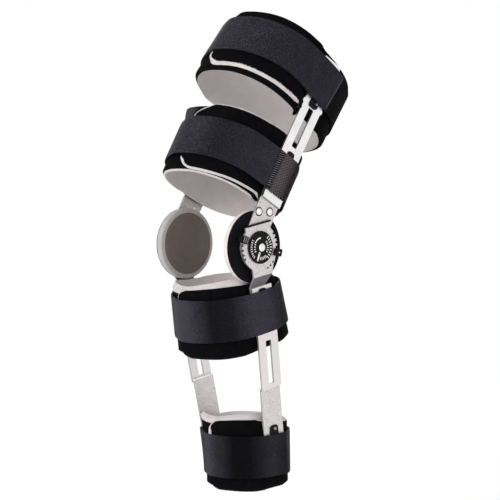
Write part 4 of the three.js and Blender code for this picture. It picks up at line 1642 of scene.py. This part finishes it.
class BraceHingeLook(bpy.types.PropertyGroup):
    """Sizes and colours of the dial, the stops and the keepers."""

    plastic: bpy.props.FloatVectorProperty(
        name="Plastic", description="Colour of the moulded pieces", subtype="COLOR",
        default=(0.0036, 0.0034, 0.0036), min=0, max=1,
    )
    mark: bpy.props.FloatVectorProperty(
        name="Marks", description="Colour of the printed marks", subtype="COLOR",
        default=(0.88, 0.88, 0.86), min=0, max=1,
    )
    screw: bpy.props.FloatVectorProperty(
        name="Screws", description="Colour of the keepers' screws", subtype="COLOR",
        default=(0.30, 0.30, 0.31), min=0, max=1,
    )
    edge_round: bpy.props.FloatProperty(
        name="Edge rounding", description="Radius of the moulded edges", default=0.0005, unit="LENGTH",
    )
    keeper_thick: bpy.props.FloatProperty(
        name="Keeper thickness", description="How far a keeper stands off its bar", default=0.0012,
        unit="LENGTH",
    )
    screw_radius: bpy.props.FloatProperty(
        name="Screw radius", description="Radius of the screw heads", default=0.0024, unit="LENGTH",
    )
    screw_rise: bpy.props.FloatProperty(
        name="Screw rise", description="How far the screw heads stand up", default=0.0007, unit="LENGTH",
    )


class BRACE_OT_keepers(bpy.types.Operator):
    """Builds the plastic tongues where the bars go under the straps"""

    bl_idname = "brace.keepers"
    bl_label = "Keepers"

    def execute(self, context):
        look = context.scene.brace_hinge
        grey = scaled(look.plastic, KEEPER_GREY)
        dull = scaled(look.screw, SCREW_DULL)
        materials = [
            plastic_material(
                "keeper_plastic", look.plastic, grey, smooth=0.4, rough=0.6, Specular_IOR_Level=0.1,
            ),
            metal_material("screw_metal", dull, look.screw, smooth=0.3, rough=0.5, level=0.6),
        ]
        for name, keeper in KEEPERS.items():
            for side, sign in SIDES.items():
                build_keeper(name, keeper, side, sign, look, materials)
        return {"FINISHED"}


# Dial and stops


def radial(angle):
    """The turn from the back of the leg to an angle round the hinge, seen from the dial side."""
    return Matrix.Rotation(math.radians(angle), 4, "X")


def add_tick(bm, angle, inner, outer, width, tip=1.0):
    """A flat raised bar that points outwards from the hinge, its far end tip times as wide."""
    middle = (inner + outer) / 2
    place = Matrix.Translation((DIAL_FACE + MARK_RISE / 2, middle, 0))
    bar = add_block(bm, place, (MARK_RISE, outer - inner, width))
    far = [vertex for vertex in bar if vertex.co.y > middle]
    bmesh.ops.scale(bm, vec=(1, 1, tip), verts=far)
    bmesh.ops.transform(bm, matrix=radial(angle), verts=bar)


def build_marks(look):
    """The printed ticks, arc and pointer of the dial."""
    white = plastic_material(
        "mark_print", scaled(look.mark, MARK_FADED), look.mark, smooth=0.45, rough=0.6,
    )
    bm = bmesh.new()
    near, far = DIAL_ARC["inner"], DIAL_ARC["outer"]
    top = DIAL_FACE + MARK_RISE
    start, end = math.radians(DIAL_ARC["start"]), math.radians(DIAL_ARC["end"])
    corners = [(DIAL_FACE, near), (top, near), (top, far), (DIAL_FACE, far)]
    spin_section(bm, corners, start, end - start, DIAL_ARC["steps"])
    for ring in DIAL_TICKS:
        gap = (ring["end"] - ring["start"]) / (ring["count"] - 1)
        for index in range(ring["count"]):
            add_tick(bm, ring["start"] + index * gap, ring["inner"], ring["outer"], ring["width"])
    add_tick(bm, **DIAL_POINTER)
    bm.transform(LEGS["shin"])
    seat(new_object("dial_marks", bm, [white]), "shin", "black_plastic")


def build_shade_sheet(material):
    """The thin dark sheet behind the face plate, whose edge shows along the plate's flat top as painted
    shade.
    """
    bm = bmesh.new()
    front, back = PLATE_SHADE_SHEET["front"], PLATE_SHADE_SHEET["back"]
    bottom, top = PLATE_SHADE_SHEET["bottom"], PLATE_SHADE_SHEET["top"]
    place = Matrix.Translation((PLATE_SHADE_SHEET["face"], (back + front) / 2, (top + bottom) / 2))
    add_block(bm, place, (PLATE_SHADE_SHEET["thick"], back - front, top - bottom))
    round_edges(bm, sideways_edges(bm), PLATE_SHADE_SHEET["corner"], MOULDED_SEGMENTS)
    bm.transform(LEGS["shin"])
    obj = new_object("face_plate_shade_sheet", bm, [material])
    weigh_normals(obj, SHARP)
    seat(obj, "shin", "black_plastic")


def add_ridges(bm):
    """Raised grip ridges across the top of the extension stop, in the second material, painted lighter as a
    highlight.
    """
    size = (STOP_RIDGES["rise"] * 2, STOP_RIDGES["thick"], STOP_RIDGES["wide"])
    for radius in STOP_RIDGES["radii"]:
        place = LEGS["shin"] @ radial(STOP_RIDGES["angle"]) @ Matrix.Translation((STOP_FACE, radius, 0))
        ridge = add_block(bm, place, size)
        edges = {edge for vertex in ridge for edge in vertex.link_edges}
        paint(ridge, 1)
        round_edges(bm, list(edges), STOP_RIDGES["round"], EASED_SEGMENTS)


def add_stop_dot(bm):
    """A small pale dot on the flexion stop, in the third material."""
    spot = Matrix.Translation((STOP_FACE, STOP_DOT["radius"], 0))
    place = LEGS["shin"] @ radial(STOP_DOT["angle"]) @ spot
    dot = add_button(bm, place, STOP_DOT["size"], STOP_DOT["top"], STOP_DOT["rise"] * 2, DOT_SEGMENTS)
    paint(dot, 2)


def build_dots(material):
    """Three small dark studs on the hinge plate."""
    bm = bmesh.new()
    spot = Matrix.Translation((FACE_PLATE + MARK_RISE, PLATE_DOTS["radius"], 0))
    for angle in PLATE_DOTS["angles"]:
        place = radial(angle) @ spot
        add_button(bm, place, PLATE_DOTS["size"], PLATE_DOTS["top"], MARK_RISE * 2, DOT_SEGMENTS)
    bm.transform(LEGS["shin"])
    seat(new_object("plate_dots", bm, [material]), "shin", "black_plastic")


def build_moulding(node, body, look, materials):
    """The dial or one of the stops: its solid with rounded edges and what it carries."""
    bm = merged_copy(node)
    join_flats(bm)
    ease_sharp(bm, look.edge_round, MOULDED_SEGMENTS)
    if node == "extension_stop":
        add_ridges(bm)
    if node == "flexion_stop":
        add_stop_dot(bm)
    obj = new_object(f"{node}_moulding", bm, materials)
    weigh_normals(obj, SHARP)
    seat(obj, body, "black_plastic", node)


class BRACE_OT_hinge(bpy.types.Operator):
    """Builds the dial with its marks and the two stops"""

    bl_idname = "brace.hinge"
    bl_label = "Dial and stops"

    def execute(self, context):
        look = context.scene.brace_hinge
        plastic = plastic_material(
            "dial_plastic", look.plastic, scaled(look.plastic, DIAL_GREY), smooth=0.35, rough=0.5,
            Specular_IOR_Level=0.1,
        )
        # Painted highlight on the stop's ridges
        wear_and_painted_sheen = plastic_material(
            "ridge_highlight_plastic", scaled(look.plastic, RIDGE_HIGHLIGHT), scaled(look.plastic, RIDGE_HIGHLIGHT_PEAK),
            smooth=0.5, rough=0.7, Specular_IOR_Level=0.2,
        )
        dot = plastic_material(
            "dot_print", scaled(look.mark, MARK_FADED), look.mark, smooth=0.4, rough=0.6,
        )
        for node, body in MOULDINGS.items():
            build_moulding(node, body, look, [plastic, wear_and_painted_sheen, dot])
        build_marks(look)
        build_dots(plastic)
        # Painted shade along the face plate's flat top
        build_shade_sheet(plastic)
        return {"FINISHED"}


# Studio


class BraceStage(bpy.types.PropertyGroup):
    """The studio: the camera, the lights and the floor."""

    azimuth: bpy.props.FloatProperty(
        name="Azimuth", description="Camera's turn from the front towards the dial side",
        default=math.radians(47), subtype="ANGLE",
    )
    elevation: bpy.props.FloatProperty(
        name="Elevation", description="Camera's height above the horizon",
        default=math.radians(3), subtype="ANGLE",
    )
    distance: bpy.props.FloatProperty(
        name="Distance", description="From the camera to the hinge line", default=2.5, unit="LENGTH",
    )
    lens: bpy.props.FloatProperty(
        name="Lens", description="Focal length in millimetres", default=150.0,
    )
    aim_across: bpy.props.FloatProperty(
        name="Aim across", description="Where the camera looks, beside the hinge line", default=0.0385,
        unit="LENGTH",
    )
    aim_up: bpy.props.FloatProperty(
        name="Aim up", description="Where the camera looks, above the hinge line", default=-0.006,
        unit="LENGTH",
    )
    floor_level: bpy.props.FloatProperty(
        name="Floor", description="Height of the floor", default=-0.42, unit="LENGTH",
    )
    floor_color: bpy.props.FloatVectorProperty(
        name="Floor colour", description="Colour of the floor", subtype="COLOR",
        default=(0.97, 0.97, 0.97), min=0, max=1,
    )
    floor_radius: bpy.props.FloatProperty(
        name="Floor radius", description="How far the floor reaches", default=2.3, unit="LENGTH",
    )
    sky: bpy.props.FloatProperty(
        name="Sky", description="Strength of the even light from all sides", default=0.80,
    )


class BRACE_OT_stage(bpy.types.Operator):
    """Sets up the camera, the lights and the floor"""

    bl_idname = "brace.stage"
    bl_label = "Studio"

    def execute(self, context):
        scene = context.scene
        look = scene.brace_stage
        level = math.cos(look.elevation)
        back = Vector((
            math.sin(look.azimuth) * level, -math.cos(look.azimuth) * level, math.sin(look.elevation),
        ))
        right = Vector((math.cos(look.azimuth), math.sin(look.azimuth), 0))
        up = back.cross(right)
        camera = bpy.data.objects.new("camera", bpy.data.cameras.new("camera"))
        scene.collection.objects.link(camera)
        camera.data.lens = look.lens
        camera.data.sensor_width = SENSOR
        camera.data.clip_end = VIEW_END
        camera.location = back * look.distance
        target = right * look.aim_across + up * look.aim_up
        camera.rotation_euler = (camera.location - target).to_track_quat("Z", "Y").to_euler()
        scene.camera = camera

        for name, light in LIGHTS.items():
            data = bpy.data.lights.new(name, "AREA")
            data.energy = light["watts"]
            data.size = light["size"]
            lamp = bpy.data.objects.new(name, data)
            lamp.location = light["place"]
            lamp.rotation_euler = Vector(light["place"]).to_track_quat("Z", "Y").to_euler()
            scene.collection.objects.link(lamp)

        bm = bmesh.new()
        place = Matrix.Translation((0, 0, look.floor_level))
        bmesh.ops.create_circle(
            bm, cap_ends=True, segments=FLOOR_SEGMENTS, radius=look.floor_radius, matrix=place,
        )
        paint_coat = plastic_material(
            "floor_paint", scaled(look.floor_color, FLOOR_SHADE), look.floor_color, smooth=0.9, rough=1.0,
            Specular_IOR_Level=0.0,
        )
        floor = new_object("floor", bm, [paint_coat])

        world = bpy.data.worlds.new("studio")
        world.use_nodes = True
        sky = world.node_tree.nodes["Background"]
        sky.inputs["Color"].default_value = (1, 1, 1, 1)
        seen = add_node(world.node_tree, "ShaderNodeLightPath").outputs["Is Camera Ray"]
        extra = math_node(world.node_tree, "MULTIPLY", seen, 1 - look.sky)
        strength = math_node(world.node_tree, "ADD", extra, look.sky)
        world.node_tree.links.new(strength, sky.inputs["Strength"])
        scene.world = world
        scene.view_settings.view_transform = "Standard"
        return {"FINISHED"}


class BRACE_PT_panel(bpy.types.Panel):
    """Lists the steps that dress the brace"""

    bl_idname = "BRACE_PT_panel"
    bl_label = "Knee brace"
    bl_space_type = "VIEW_3D"
    bl_region_type = "UI"
    bl_category = "Knee brace"

    def draw(self, context):
        for step in STEPS:
            self.layout.operator(step.bl_idname)


SETTINGS = {
    "brace_wraps": BraceWrapLook,
    "brace_straps": BraceStrapLook,
    "brace_pads": BracePadLook,
    "brace_metal": BraceMetalLook,
    "brace_hinge": BraceHingeLook,
    "brace_stage": BraceStage,
}
STEPS = (
    BRACE_OT_wraps, BRACE_OT_straps, BRACE_OT_pads, BRACE_OT_uprights, BRACE_OT_keepers,
    BRACE_OT_hinge, BRACE_OT_stage,
)


def register():
    """Registers the settings, the steps and the panel."""
    for name, group in SETTINGS.items():
        bpy.utils.register_class(group)
        setattr(bpy.types.Scene, name, bpy.props.PointerProperty(type=group))
    for step in STEPS:
        bpy.utils.register_class(step)
    bpy.utils.register_class(BRACE_PT_panel)


def unregister():
    """Takes the settings, the steps and the panel away again."""
    bpy.utils.unregister_class(BRACE_PT_panel)
    for step in reversed(STEPS):
        bpy.utils.unregister_class(step)
    for name, group in reversed(SETTINGS.items()):
        delattr(bpy.types.Scene, name)
        bpy.utils.unregister_class(group)


def main():
    """Dresses the brace step by step."""
    register()
    bpy.ops.brace.wraps()
    bpy.ops.brace.straps()
    bpy.ops.brace.pads()
    bpy.ops.brace.uprights()
    bpy.ops.brace.keepers()
    bpy.ops.brace.hinge()
    bpy.ops.brace.stage()


if __name__ == "__main__":
    main()
